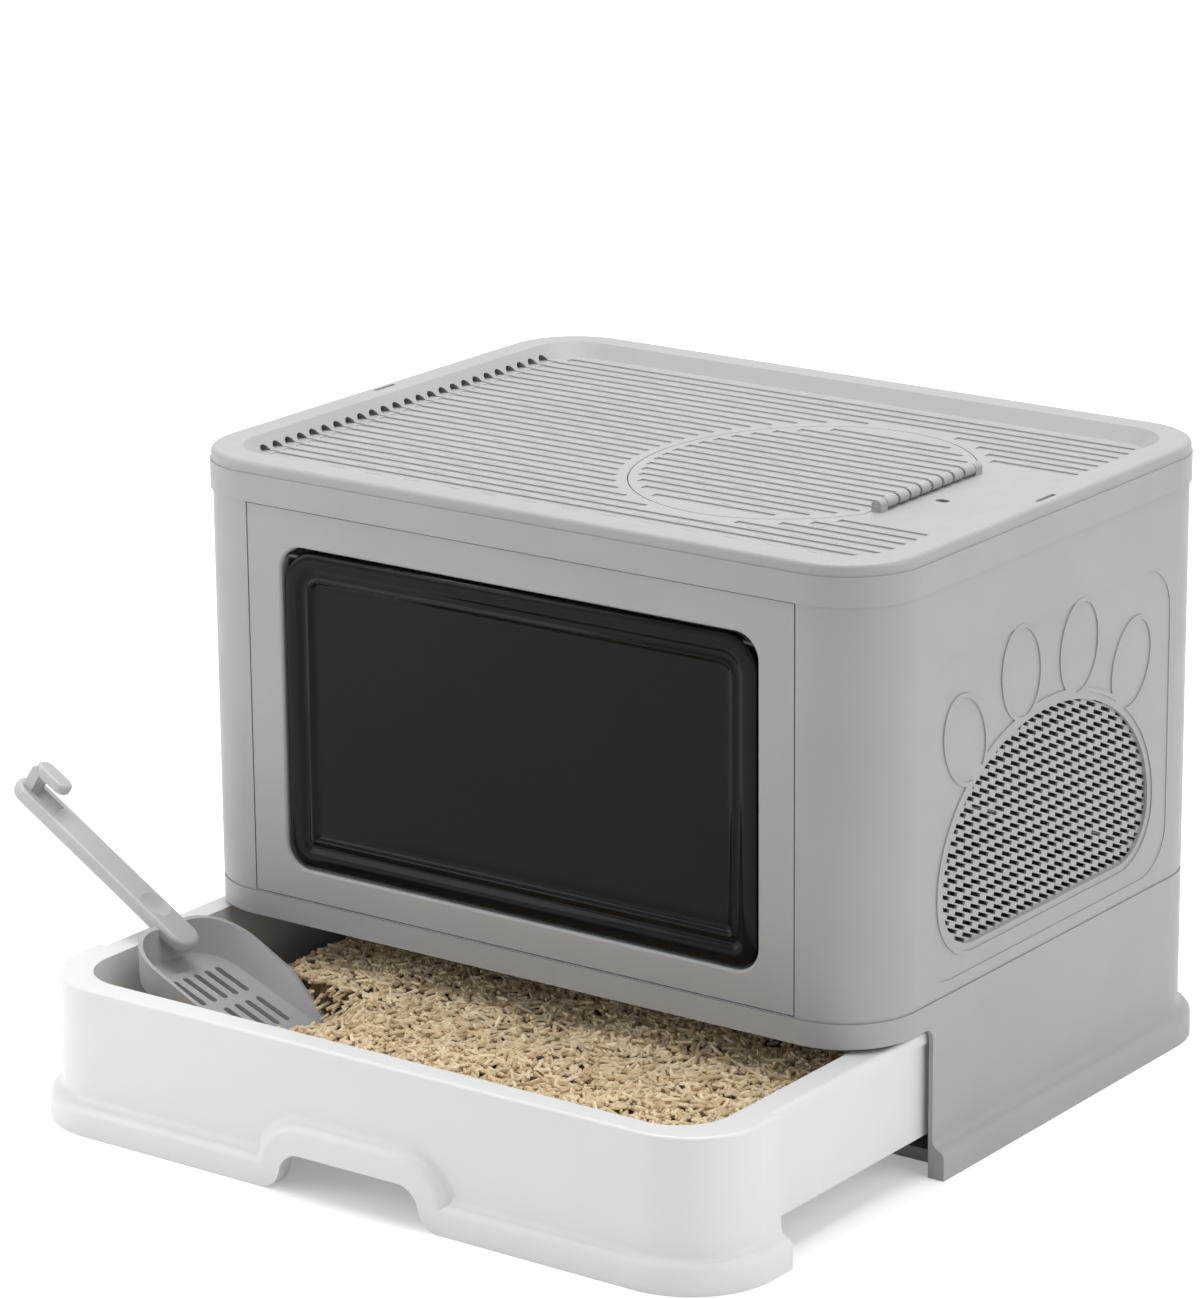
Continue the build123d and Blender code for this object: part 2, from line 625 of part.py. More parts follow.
with BuildPart() as scoop_handle:
    with BuildSketch(HANDLE_PLANE):
        with Locations((-HANDLE_LENGTH / 2, 0)):
            SlotOverall(HANDLE_LENGTH, HANDLE_WIDTH)
    extrude(amount=HANDLE_THICKNESS)
    handle_faces = scoop_handle.faces().sort_by(HANDLE_NORMAL)
    fillet(
        handle_faces[0].edges() + handle_faces[-1].edges(),
        min(HANDLE_ROUND, ROUND_SHARE * HANDLE_THICKNESS / 2),
    )
    with Locations(HANDLE_PLANE.from_local_coords(DENT_MIDDLE)):
        Sphere(DENT_RADIUS, mode=Mode.SUBTRACT)

with BuildPart() as scoop_hook:
    with BuildSketch(HANDLE_PLANE.offset(HANDLE_THICKNESS + HOOK_RISE - HOOK_THICKNESS)):
        with Locations((HOOK_MIDDLE, 0)):
            SlotOverall(HOOK_REACH, HOOK_WIDTH)
    extrude(amount=HOOK_THICKNESS)
    hook_faces = scoop_hook.faces().sort_by(HANDLE_NORMAL)
    fillet(
        hook_faces[0].edges() + hook_faces[-1].edges(),
        min(HOOK_ROUND, ROUND_SHARE * HOOK_THICKNESS / 2),
    )

with BuildPart() as litter_scoop:
    with BuildSketch(SCOOP_PLANE):
        add(pan_outline())
    extrude(amount=PAN_DEPTH, taper=-PAN_DRAFT)
    with BuildSketch(SCOOP_PLANE.offset(PAN_WALL)):
        add(pan_outline(PAN_WALL))
    extrude(amount=PAN_DEPTH, taper=-PAN_DRAFT, mode=Mode.SUBTRACT)
    with BuildSketch(SCOOP_PLANE.offset(PAN_WALL)):
        with Locations((SCOOP_SLOT_START - STRIP_MARGIN, 0)):
            Rectangle(
                PAN_LENGTH - SCOOP_SLOT_START + STRIP_MARGIN,
                SCOOP_SLOT_PITCH * (SCOOP_SLOT_COLUMNS - 1) + SCOOP_SLOT_WIDTH + STRIP_MARGIN,
                align=(Align.MIN, Align.CENTER),
            )
    extrude(amount=STRIP_RISE)
    with BuildSketch(SCOOP_SIDE):
        with BuildLine():
            Polyline(
                (0, PAN_DEPTH),
                (PAN_SHOULDER, PAN_SHOULDER_DEPTH),
                (PAN_LENGTH, PAN_LIP),
                (PAN_LENGTH, -CUT_OVERRUN),
                (PAN_LENGTH + 2 * PAN_RADIUS + CUT_OVERRUN, -CUT_OVERRUN),
                (PAN_LENGTH + 2 * PAN_RADIUS + CUT_OVERRUN, PAN_DEPTH + CUT_OVERRUN),
                (0, PAN_DEPTH + CUT_OVERRUN),
                close=True,
            )
        make_face()
    extrude(amount=PAN_WIDTH, both=True, mode=Mode.SUBTRACT)
    with BuildSketch(SCOOP_PLANE):
        for row in range(SCOOP_SLOT_ROWS):
            row_start = SCOOP_SLOT_START + row * (SCOOP_SLOT_LENGTH + SCOOP_SLOT_BAR)
            with Locations((row_start + SCOOP_SLOT_LENGTH / 2, 0)):
                with GridLocations(0, SCOOP_SLOT_PITCH, 1, SCOOP_SLOT_COLUMNS):
                    SlotOverall(SCOOP_SLOT_LENGTH, SCOOP_SLOT_WIDTH)
    extrude(amount=PAN_WALL + STRIP_RISE + CUT_OVERRUN, both=True, mode=Mode.SUBTRACT)
    add(scoop_handle.part)
    with BuildSketch(HANDLE_PLANE):
        with Locations((HOOK_WIDTH / 2 + HOOK_POST - HANDLE_LENGTH, 0)):
            Rectangle(HOOK_REACH - HOOK_POST, HOOK_HOLE_WIDTH, align=(Align.MIN, Align.CENTER))
    extrude(amount=HANDLE_THICKNESS, mode=Mode.SUBTRACT)
    with BuildSketch(HANDLE_PLANE.offset(HANDLE_THICKNESS / 2)):
        with Locations((HOOK_WIDTH / 2 - HANDLE_LENGTH, 0)):
            Rectangle(HOOK_POST, HOOK_WIDTH, align=(Align.MIN, Align.CENTER))
    extrude(amount=HANDLE_THICKNESS / 2 + HOOK_RISE - HOOK_THICKNESS / 2)
    add(scoop_hook.part)

litter_scoop.part.label = "litter_scoop"
export_step(litter_scoop.part, "parts/litter_scoop.step")


# Front panel: a plate with a lipped door opening and hinge knuckles along its foot
FRONT_FACE = Plane.XZ.offset(-FRONT)
ROD_Y = FRONT + FLAP_SETBACK + FLAP_DEPTH / 2
ROD_Z = SEAM_HEIGHT + DOOR_SILL + DOOR_HEIGHT - FLAP_ROD_DROP


def door_outline(inset=0):
    """Rounded door opening about its own middle, drawn in by inset."""
    with BuildSketch() as outline:
        RectangleRounded(DOOR_WIDTH - 2 * inset, DOOR_HEIGHT - 2 * inset, DOOR_RADIUS - inset)
    return outline.sketch


def knuckle_section(end):
    """Section of a panel's hinge knuckle at the front (-1) or back (1), with its web."""
    with BuildSketch() as section:
        with Locations((end * HINGE_Y, HINGE_Z)):
            Circle(KNUCKLE_RADIUS)
            Rectangle(
                HINGE_SETBACK - PANEL_WALL / 2,
                2 * KNUCKLE_RADIUS,
                align=(Align.MAX if end < 0 else Align.MIN, Align.CENTER),
            )
            Circle(HINGE_PIN_RADIUS + PIN_GAP, mode=Mode.SUBTRACT)
    return section.sketch


with BuildPart() as front_panel:
    with BuildSketch(FRONT_FACE):
        with Locations((0, PLATE_FOOT)):
            Rectangle(PLATE_WIDTH, PLATE_HEIGHT, align=(Align.CENTER, Align.MIN))
    extrude(amount=-PANEL_WALL)
    with BuildSketch(FRONT_FACE):
        with Locations((0, DOOR_MIDDLE)):
            add(door_outline(-LIP_WALL))
    extrude(amount=-PANEL_WALL - LIP_DEPTH)
    with BuildSketch(FRONT_FACE):
        with Locations((0, DOOR_MIDDLE)):
            add(door_outline())
    extrude(amount=-PANEL_WALL - LIP_DEPTH, mode=Mode.SUBTRACT)
    fillet(
        front_panel.faces().sort_by(Axis.Y)[0].inner_wires().edges(),
        min(DOOR_ROUND, ROUND_SHARE * LIP_WALL),
    )
    for middle in hinge_places():
        with BuildSketch(Plane.YZ.offset(middle)):
            add(knuckle_section(-1))
        extrude(amount=KNUCKLE_LENGTH / 2, both=True)
    with BuildSketch(Plane.YZ):
        with Locations((ROD_Y, ROD_Z)):
            Circle(FLAP_ROD_RADIUS + PIN_GAP)
    extrude(amount=DOOR_WIDTH / 2 + FLAP_ROD_SEAT, both=True, mode=Mode.SUBTRACT)

front_panel.part.label = "front_panel"
export_step(front_panel.part, "parts/front_panel.step")


# Flap rod: a steel wire across the top of the door opening
with BuildPart() as flap_hinge_rod:
    with BuildSketch(Plane.YZ):
        with Locations((ROD_Y, ROD_Z)):
            Circle(FLAP_ROD_RADIUS)
    extrude(amount=DOOR_WIDTH / 2 + FLAP_ROD_SEAT - PIN_GAP, both=True)

flap_hinge_rod.part.label = "flap_hinge_rod"
export_step(flap_hinge_rod.part, "parts/flap_hinge_rod.step")


# Flap door: a smoked clear pan with a raised border and a stepped field
FLAP_FACE = Plane.XZ.offset(-FRONT - FLAP_SETBACK)
FLAP_WIDTH = DOOR_WIDTH - 2 * FLAP_GAP
FLAP_TOP = ROD_Z + FLAP_EAR
FLAP_FOOT = SEAM_HEIGHT + DOOR_SILL + FLAP_GAP
FLAP_HEIGHT = FLAP_TOP - FLAP_FOOT


def flap_outline(inset=0):
    """Rounded outline of the flap about its own middle, drawn in by inset."""
    with BuildSketch() as outline:
        Rectangle(FLAP_WIDTH - 2 * inset, FLAP_HEIGHT - 2 * inset)
        lower_corners = outline.vertices().sort_by(Axis.Y)[:2]
        fillet(lower_corners, max(DOOR_RADIUS - FLAP_GAP - inset, FLAP_STEP))
        upper_corners = outline.vertices().sort_by(Axis.Y)[-2:]
        fillet(upper_corners, max(FLAP_TOP_RADIUS - inset, FLAP_STEP))
    return outline.sketch


with BuildPart() as flap_door:
    with BuildSketch(FLAP_FACE):
        with Locations((0, (FLAP_TOP + FLAP_FOOT) / 2)):
            add(flap_outline())
    extrude(amount=-FLAP_DEPTH)
    fillet(flap_door.faces().sort_by(Axis.Y)[0].edges(), FLAP_ROUND)
    for level, inset in ((FLAP_STEP, FLAP_BORDER), (FLAP_DEPTH - FLAP_WALL, FLAP_BORDER + FLAP_SHELF)):
        with BuildSketch(FLAP_FACE):
            with Locations((0, (FLAP_TOP + FLAP_FOOT) / 2)):
                add(flap_outline(inset))
        extrude(amount=-level, mode=Mode.SUBTRACT)
    with BuildSketch(Plane.YZ):
        with Locations((ROD_Y, ROD_Z)):
            Circle(FLAP_ROD_RADIUS + PIN_GAP)
    extrude(amount=DOOR_WIDTH, both=True, mode=Mode.SUBTRACT)

flap_door.part.label = "flap_door"
export_step(flap_door.part, "parts/flap_door.step")


# Back panel: a plain plate with a shallow field and the same knuckles
BACK_FACE = Plane(
    (0, BACK, PLATE_FOOT + PLATE_HEIGHT / 2),
    x_dir=(-1, 0, 0),
    z_dir=(0, 1, 0),
)

with BuildPart() as back_panel:
    with BuildSketch(BACK_FACE):
        Rectangle(PLATE_WIDTH, PLATE_HEIGHT)
    extrude(amount=-PANEL_WALL)
    with BuildSketch(BACK_FACE):
        RectangleRounded(
            PLATE_WIDTH - 2 * BACK_FIELD_MARGIN,
            PLATE_HEIGHT - 2 * BACK_FIELD_MARGIN,
            BACK_FIELD_RADIUS,
        )
    extrude(amount=-FIELD_DEPTH, mode=Mode.SUBTRACT)
    for middle in hinge_places():
        with BuildSketch(Plane.YZ.offset(middle)):
            add(knuckle_section(1))
        extrude(amount=KNUCKLE_LENGTH / 2, both=True)

back_panel.part.label = "back_panel"
export_step(back_panel.part, "parts/back_panel.step")


# Side panels: C-shaped walls with a raised paw, its pad open for the vent
SIDE_FACE = Plane.YZ.offset(HALF_WIDTH)
PAD_FOOT = SEAM_HEIGHT + PAW_PAD_FOOT


def paw_figure(inset=0):
    """Outline of the whole paw above its pad's foot, drawn in by inset."""
    with BuildSketch() as figure:
        add(paw_pad(PAW_COLLAR - inset))
        for across, up, lean in zip(TOE_ACROSS_SHARES, TOE_UP_SHARES, TOE_LEANS):
            with Locations((across * PAW_PAD_WIDTH, up * PAW_PAD_HEIGHT)):
                Ellipse(TOE_WIDTH / 2 - inset, TOE_LENGTH / 2 - inset, rotation=lean)
    return figure.sketch


with BuildPart() as right_side_panel:
    with BuildSketch(Plane.XY.offset(SEAM_HEIGHT)):
        add(body_outline())
        add(body_outline(PANEL_WALL), mode=Mode.SUBTRACT)
        with Locations((HALF_WIDTH - SIDE_ARM, 0)):
            Rectangle(
                BODY_WIDTH,
                BODY_DEPTH + CUT_OVERRUN,
                align=(Align.MAX, Align.CENTER),
                mode=Mode.SUBTRACT,
            )
    extrude(amount=PANEL_HEIGHT)
    with BuildSketch(Plane.XY.offset(SEAM_HEIGHT)):
        add(body_outline(-CUT_OVERRUN))
        add(body_outline(SEAM_STEP), mode=Mode.SUBTRACT)
    extrude(amount=SEAM_STEP, mode=Mode.SUBTRACT)
    with BuildSketch(SIDE_FACE):
        with Locations((0, SEAM_HEIGHT + PAW_FIELD_FOOT)):
            RectangleRounded(
                PAW_FIELD_WIDTH,
                PAW_FIELD_HEIGHT,
                PAW_FIELD_RADIUS,
                align=(Align.CENTER, Align.MIN),
            )
    extrude(amount=-FIELD_DEPTH, mode=Mode.SUBTRACT)
    with BuildSketch(SIDE_FACE.offset(-PANEL_WALL / 2)):
        with Locations((0, PAD_FOOT)):
            add(paw_figure())
            add(paw_figure(PAW_LINE), mode=Mode.SUBTRACT)
    extrude(amount=PANEL_WALL / 2 - FIELD_DEPTH + PAW_RELIEF)
    with BuildSketch(SIDE_FACE.offset(PAW_RELIEF)):
        with Locations((0, PAD_FOOT)):
            add(paw_pad())
    extrude(amount=-PAW_RELIEF - PANEL_WALL - CUT_OVERRUN, mode=Mode.SUBTRACT)
    with BuildSketch(Plane.XY.offset(SEAM_HEIGHT - TONGUE_DEPTH)):
        with Locations((HALF_WIDTH - PANEL_WALL - TONGUE_WALL / 2, 0)):
            with GridLocations(0, TONGUE_SPACING, 1, 2):
                Rectangle(TONGUE_WALL, TONGUE_LENGTH)
    extrude(amount=TONGUE_DEPTH + TONGUE_RISE)
    with BuildSketch(SIDE_FACE.offset(-PANEL_WALL)):
        with Locations((0, PAD_FOOT)):
            add(paw_pad(GRILLE_LAP + TONGUE_GAP))
    extrude(amount=-TONGUE_WALL - CUT_OVERRUN, mode=Mode.SUBTRACT)

right_side_panel.part.label = "right_side_panel"
export_step(right_side_panel.part, "parts/right_side_panel.step")

with BuildPart() as left_side_panel:
    mirror(right_side_panel.part, about=Plane.YZ)

left_side_panel.part.label = "left_side_panel"
export_step(left_side_panel.part, "parts/left_side_panel.step")


# Vent grilles: plates behind the paw pads with rows of leaning slots
GRILLE_ROWS = ceil(PAW_PAD_HEIGHT / GRILLE_PITCH_UP) + 1
GRILLE_COLUMNS = ceil(PAW_PAD_WIDTH / GRILLE_PITCH_ACROSS) + 1


def vent_slots():
    """Leaning slots over the pad and a little past its edge, without slivers."""
    with BuildSketch() as slots:
        with Locations((0, PAW_PAD_HEIGHT / 2)):
            with GridLocations(GRILLE_PITCH_ACROSS, GRILLE_PITCH_UP, GRILLE_COLUMNS, GRILLE_ROWS):
                Rectangle(GRILLE_SLOT_LENGTH, GRILLE_SLOT_WIDTH, rotation=GRILLE_SLOT_LEAN)
        add(paw_pad(GRILLE_EDGE), mode=Mode.INTERSECT)
    least = GRILLE_SLIVER_SHARE * GRILLE_SLOT_LENGTH * GRILLE_SLOT_WIDTH
    return [slot for slot in slots.sketch.faces() if slot.area > least]


with BuildPart() as right_vent_grille:
    with BuildSketch(SIDE_FACE.offset(-PANEL_WALL)):
        with Locations((0, PAD_FOOT)):
            add(paw_pad(GRILLE_LAP))
    extrude(amount=-GRILLE_THICKNESS)
    with BuildSketch(SIDE_FACE.offset(-PANEL_WALL)):
        with Locations((0, PAD_FOOT)):
            add(vent_slots())
    extrude(amount=-GRILLE_THICKNESS, mode=Mode.SUBTRACT)

right_vent_grille.part.label = "right_vent_grille"
export_step(right_vent_grille.part, "parts/right_vent_grille.step")

with BuildPart() as left_vent_grille:
    mirror(right_vent_grille.part, about=Plane.YZ)

left_vent_grille.part.label = "left_vent_grille"
export_step(left_vent_grille.part, "parts/left_vent_grille.step")


# Lid: a hollow rimmed cover with a grooved floor, a hatch seat and hinge lugs
LID_TOP = LID_SEAM + LID_HEIGHT
RIB_TOP = LID_TOP - LID_RECESS
FLOOR_UNDER = RIB_TOP - LID_FLOOR
RECESS_WIDTH = BODY_WIDTH - 2 * LID_RIM
RECESS_DEPTH = BODY_DEPTH - 2 * LID_RIM
FIELD_WIDTH = RECESS_WIDTH - 2 * LID_RECESS_DRAFT - 2 * GROOVE_MARGIN
FIELD_SPAN = RECESS_DEPTH - 2 * LID_RECESS_DRAFT - 2 * GROOVE_MARGIN
FIELD_RADIUS = LID_RECESS_RADIUS - LID_RECESS_DRAFT - GROOVE_MARGIN
GROOVE_COUNT = int(FIELD_SPAN / GROOVE_PITCH)
HATCH_RING = HATCH_GAP + HATCH_SEAT
HATCH_AXIS_X = HATCH_CENTRE + HATCH_EDGE + BARREL_OFFSET
HATCH_AXIS_Z = RIB_TOP + BARREL_RISE


def lid_recess(inset=0):
    """Rounded rectangle of the recess in the lid's top, drawn in by inset."""
    with BuildSketch() as outline:
        RectangleRounded(RECESS_WIDTH - 2 * inset, RECESS_DEPTH - 2 * inset, LID_RECESS_RADIUS - inset)
    return outline.sketch


def hatch_chord(y, margin):
    """Half the hatch's width at a depth y from its middle, grown by margin; 0 beyond it."""
    share = y / (HATCH_HALF_DEPTH + margin)
    return (HATCH_HALF_WIDTH + margin) * sqrt(max(0, 1 - share * share))


def lid_spans(y):
    """Start and stop of the lid's groove at y: round the field's corners, the hatch and its apron."""
    beyond = max(0, y + GROOVE_WIDTH / 2 - FIELD_SPAN / 2 + FIELD_RADIUS)
    end = FIELD_WIDTH / 2 - FIELD_RADIUS + sqrt(max(0, FIELD_RADIUS * FIELD_RADIUS - beyond * beyond))
    near = max(0, y - GROOVE_WIDTH / 2)
    chord = hatch_chord(near, HATCH_RING)
    if chord == 0:
        return [(-end, end)]
    hatch_end = HATCH_CENTRE + min(chord, HATCH_EDGE + HATCH_RING)
    apron_end = HATCH_AXIS_X - HATCH_SEAT + APRON_WIDTH if near < APRON_DEPTH / 2 else hatch_end
    return [(-end, HATCH_CENTRE - chord), (max(hatch_end, apron_end), end)]


def hatch_spans(y):
    """Start and stop of the hatch's groove at y, inside its border."""
    chord = hatch_chord(y + GROOVE_WIDTH / 2, -HATCH_BORDER)
    return [(HATCH_CENTRE - chord, HATCH_CENTRE + min(chord, HATCH_EDGE - HATCH_BORDER))]


def groove_rows(spans):
    """Grooves of the top, each row cut to the spans that its distance from the middle gives."""
    with BuildSketch() as rows:
        for row in range(GROOVE_COUNT):
            y = (row - (GROOVE_COUNT - 1) / 2) * GROOVE_PITCH
            for start, stop in spans(abs(y)):
                if stop - start > GROOVE_WIDTH:
                    with Locations(((start + stop) / 2, y)):
                        Rectangle(stop - start, GROOVE_WIDTH)
    return rows.sketch


DRAIN_RUN = DRAIN_REACH + (RECESS_WIDTH - FIELD_WIDTH) / 2 + LID_WALL + CUT_OVERRUN

with BuildPart() as lid_cover:
    with BuildSketch(Plane.XY.offset(LID_SEAM)):
        add(body_outline(-LID_PROUD))
    extrude(amount=LID_STEP_HEIGHT)
    with BuildSketch(Plane.XY.offset(LID_SEAM + LID_STEP_HEIGHT)):
        add(body_outline(LID_STEP - LID_PROUD))
    extrude(amount=LID_HEIGHT - LID_STEP_HEIGHT)
    fillet(lid_cover.faces().sort_by(Axis.Z)[-1].edges(), LID_ROUND)
    with BuildSketch(Plane.XY.offset(RIB_TOP)):
        add(lid_recess(LID_RECESS_DRAFT))
    with BuildSketch(Plane.XY.offset(LID_TOP)):
        add(lid_recess())
    loft(mode=Mode.SUBTRACT)
    with BuildSketch(Plane.XY.offset(LID_SEAM)):
        add(body_outline(LID_WALL))
    extrude(amount=FLOOR_UNDER - LID_SEAM, mode=Mode.SUBTRACT)
    with BuildSketch(Plane.XY.offset(LID_SEAM)):
        add(body_outline(LID_WALL))
        add(lid_recess(-LID_WALL), mode=Mode.SUBTRACT)
    extrude(amount=LID_HEIGHT - LID_WALL, mode=Mode.SUBTRACT)
    with BuildSketch(Plane.XY.offset(FLOOR_UNDER - HATCH_SEAT_THICKNESS)):
        add(hatch_outline(HATCH_SEAT))
    extrude(amount=HATCH_SEAT_THICKNESS)
    with BuildSketch(Plane.XY.offset(FLOOR_UNDER)):
        add(hatch_outline(HATCH_GAP))
    extrude(amount=LID_FLOOR, mode=Mode.SUBTRACT)
    with BuildSketch(Plane.XY.offset(FLOOR_UNDER)):
        add(hatch_outline(-HATCH_SEAT))
    extrude(amount=-HATCH_SEAT_THICKNESS, mode=Mode.SUBTRACT)
    with BuildSketch(Plane.XY.offset(RIB_TOP)):
        add(groove_rows(lid_spans))
    extrude(amount=-GROOVE_DEPTH, mode=Mode.SUBTRACT)
    with BuildSketch(Plane.XY.offset(RIB_TOP)):
        with Locations((HATCH_AXIS_X + KEYHOLE_OFFSET, -GROOVE_PITCH)):
            SlotOverall(KEYHOLE_LENGTH, KEYHOLE_WIDTH)
    extrude(amount=-LID_FLOOR, mode=Mode.SUBTRACT)
    with BuildSketch(Plane.YZ.offset(DRAIN_REACH - FIELD_WIDTH / 2)):
        with Locations((0, RIB_TOP - GROOVE_DEPTH / 2)):
            with GridLocations(GROOVE_PITCH, 0, GROOVE_COUNT - 2, 1):
                Circle(DRAIN_RADIUS)
            Rectangle(
                RECESS_DEPTH,
                2 * DRAIN_RADIUS,
                align=(Align.CENTER, Align.MAX),
                mode=Mode.SUBTRACT,
            )
    extrude(amount=-DRAIN_RUN, mode=Mode.SUBTRACT)
    with BuildSketch(Plane.XY.offset(LID_TOP)):
        with GridLocations(BODY_WIDTH - 2 * RIM_SLOT_INSET, 0, 2, 1):
            Rectangle(RIM_SLOT_WIDTH, RIM_SLOT_LENGTH)
    extrude(amount=-RIM_SLOT_DEPTH, mode=Mode.SUBTRACT)
    for key_side in (-1, 1):
        key_x = key_side * (HALF_WIDTH - PANEL_WALL - TONGUE_GAP)
        with Locations((key_x, 0, LID_SEAM - LID_KEY_DEPTH)):
            Box(
                LID_KEY_WALL,
                LID_KEY_LENGTH,
                LID_KEY_DEPTH + LID_HEIGHT - LID_WALL / 2,
                align=(Align.MAX if key_side > 0 else Align.MIN, Align.CENTER, Align.MIN),
            )
    for lug_side in (-1, 1):
        lug_middle = lug_side * (BARREL_LENGTH / 2 + KNUCKLE_GAP + HATCH_LUG / 2)
        with BuildSketch(Plane.XZ.offset(lug_middle)):
            with Locations((HATCH_AXIS_X, HATCH_AXIS_Z)):
                Circle(BARREL_RADIUS)
                Rectangle(
                    2 * BARREL_RADIUS,
                    BARREL_RISE + LID_FLOOR / 2,
                    align=(Align.CENTER, Align.MAX),
                )
                Circle(HATCH_ROD_RADIUS + PIN_GAP, mode=Mode.SUBTRACT)
        extrude(amount=HATCH_LUG / 2, both=True)

lid_cover.part.label = "lid_cover"
export_step(lid_cover.part, "parts/lid_cover.step")


# Hatch rod: a steel wire through the lid's lugs and the hatch barrel
with BuildPart() as hatch_hinge_rod:
    with BuildSketch(Plane.XZ):
        with Locations((HATCH_AXIS_X, HATCH_AXIS_Z)):
            Circle(HATCH_ROD_RADIUS)
    extrude(amount=BARREL_LENGTH / 2 + KNUCKLE_GAP + HATCH_LUG, both=True)

hatch_hinge_rod.part.label = "hatch_hinge_rod"
export_step(hatch_hinge_rod.part, "parts/hatch_hinge_rod.step")


# Hatch: a grooved D-shaped cover with its hinge barrel
with BuildPart() as top_hatch:
    with BuildSketch(Plane.XY.offset(FLOOR_UNDER)):
        add(hatch_outline())
    extrude(amount=LID_FLOOR)
    with BuildSketch(Plane.XY.offset(RIB_TOP)):
        add(groove_rows(hatch_spans))
    extrude(amount=-GROOVE_DEPTH, mode=Mode.SUBTRACT)
    with BuildSketch(Plane.XZ):
        with Locations((HATCH_AXIS_X, HATCH_AXIS_Z)):
            Circle(BARREL_RADIUS)
        with BuildLine():
            Polyline(
                (HATCH_AXIS_X - BARREL_OFFSET - HATCH_BORDER, RIB_TOP - LID_FLOOR),
                (HATCH_AXIS_X - BARREL_OFFSET, RIB_TOP - LID_FLOOR),
                (HATCH_AXIS_X - BARREL_OFFSET, HATCH_AXIS_Z - BARREL_RADIUS),
                (HATCH_AXIS_X, HATCH_AXIS_Z - BARREL_RADIUS),
                (HATCH_AXIS_X, HATCH_AXIS_Z + BARREL_RADIUS),
                (HATCH_AXIS_X - BARREL_OFFSET - HATCH_BORDER, RIB_TOP),
                close=True,
            )
        make_face()
        with Locations((HATCH_AXIS_X, HATCH_AXIS_Z)):
            Circle(HATCH_ROD_RADIUS + PIN_GAP, mode=Mode.SUBTRACT)
    extrude(amount=BARREL_LENGTH / 2, both=True)
    with Locations((HATCH_AXIS_X, 0, HATCH_AXIS_Z)):
        with GridLocations(0, GROOVE_PITCH, 1, ceil(BARREL_LENGTH / GROOVE_PITCH) - 2):
            Box(2 * BARREL_RADIUS, BARREL_NOTCH, 2 * BARREL_RADIUS, mode=Mode.SUBTRACT)

top_hatch.part.label = "top_hatch"
export_step(top_hatch.part, "parts/top_hatch.step")
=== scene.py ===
# %% [markdown]
# # A folding litter box, dressed for a studio photograph
#
# The CAD model already holds every moulding at its true size, so this lesson only
# does what CAD leaves out: the finish of each plastic, the loose pellets in the
# drawer, a camera and soft light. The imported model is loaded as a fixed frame, and
# each new piece rides on one of its bodies.

import bpy
import numpy as np
from mathutils import Matrix, Vector


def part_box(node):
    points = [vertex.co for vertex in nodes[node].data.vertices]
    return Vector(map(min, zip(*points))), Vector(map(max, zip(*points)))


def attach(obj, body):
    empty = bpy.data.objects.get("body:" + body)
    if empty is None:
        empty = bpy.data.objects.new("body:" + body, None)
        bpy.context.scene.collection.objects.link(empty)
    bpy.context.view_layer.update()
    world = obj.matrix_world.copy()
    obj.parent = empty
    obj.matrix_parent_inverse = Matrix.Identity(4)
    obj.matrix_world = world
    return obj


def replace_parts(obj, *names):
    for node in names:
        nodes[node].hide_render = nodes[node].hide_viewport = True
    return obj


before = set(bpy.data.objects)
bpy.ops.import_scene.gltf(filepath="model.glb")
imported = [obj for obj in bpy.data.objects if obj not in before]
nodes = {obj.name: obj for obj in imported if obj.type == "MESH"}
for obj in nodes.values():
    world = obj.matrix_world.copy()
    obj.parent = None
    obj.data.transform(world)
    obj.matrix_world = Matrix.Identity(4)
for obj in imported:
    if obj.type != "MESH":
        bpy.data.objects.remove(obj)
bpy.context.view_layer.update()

# %% [markdown]
# ## Writing colours and nodes
#
# A colour is given as an sRGB hex value, while the shaders work in linear light, so
# one function converts it. A second one adds a node with its settings and links,
# which keeps each finish below to a few readable lines.

# %% Colour and node helpers
MM = 0.001


def linear(hex_code):
    """sRGB hex to linear RGBA: a power curve with a straight foot near black."""
    channels = np.array([int(hex_code[k : k + 2], 16) for k in (1, 3, 5)]) / 255
    curve = ((channels + 0.055) / 1.055) ** 2.4
    return (*np.where(channels <= 0.04045, channels / 12.92, curve), 1.0)


def add_node(tree, kind, settings=None, **inputs):
    """Add a node, set its properties, then set or link each input, by name or as _index."""
    node = tree.nodes.new(kind)
    for key, value in (settings or {}).items():
        setattr(node, key, value)
    for key, value in inputs.items():
        socket = node.inputs[int(key[1:]) if key[0] == "_" else key.replace("_", " ")]
        if isinstance(value, bpy.types.NodeSocket):
            tree.links.new(value, socket)
        else:
            socket.default_value = value
    return node


def new_finish(name):
    """Empty material, its node tree and the Object coordinates that its patterns use."""
    material = bpy.data.materials.new(name)
    material.use_nodes = True
    tree = material.node_tree
    tree.nodes.clear()
    return material, tree, add_node(tree, "ShaderNodeTexCoord").outputs["Object"]


print("helpers ready; mid grey #808080 is", round(linear("#808080")[0], 3), "in linear light")

# %% [markdown]
# ## Moulded polypropylene
#
# The panels, base and lid come from polished and lightly spark-eroded moulds. The
# eye gets a satin sheen, a very fine pebble that breaks up reflections, and slow
# unevenness where the melt cooled. An image of plastic would show none of that at
# close range, so three noises at real sizes do it: the pebble, drawn coarser than the
# true 0.2 mm so that it shows, 18 mm smears in the sheen, and 70 mm for the cooling.
# The white drawer comes from a smoother mould, so its pebble is shallower.


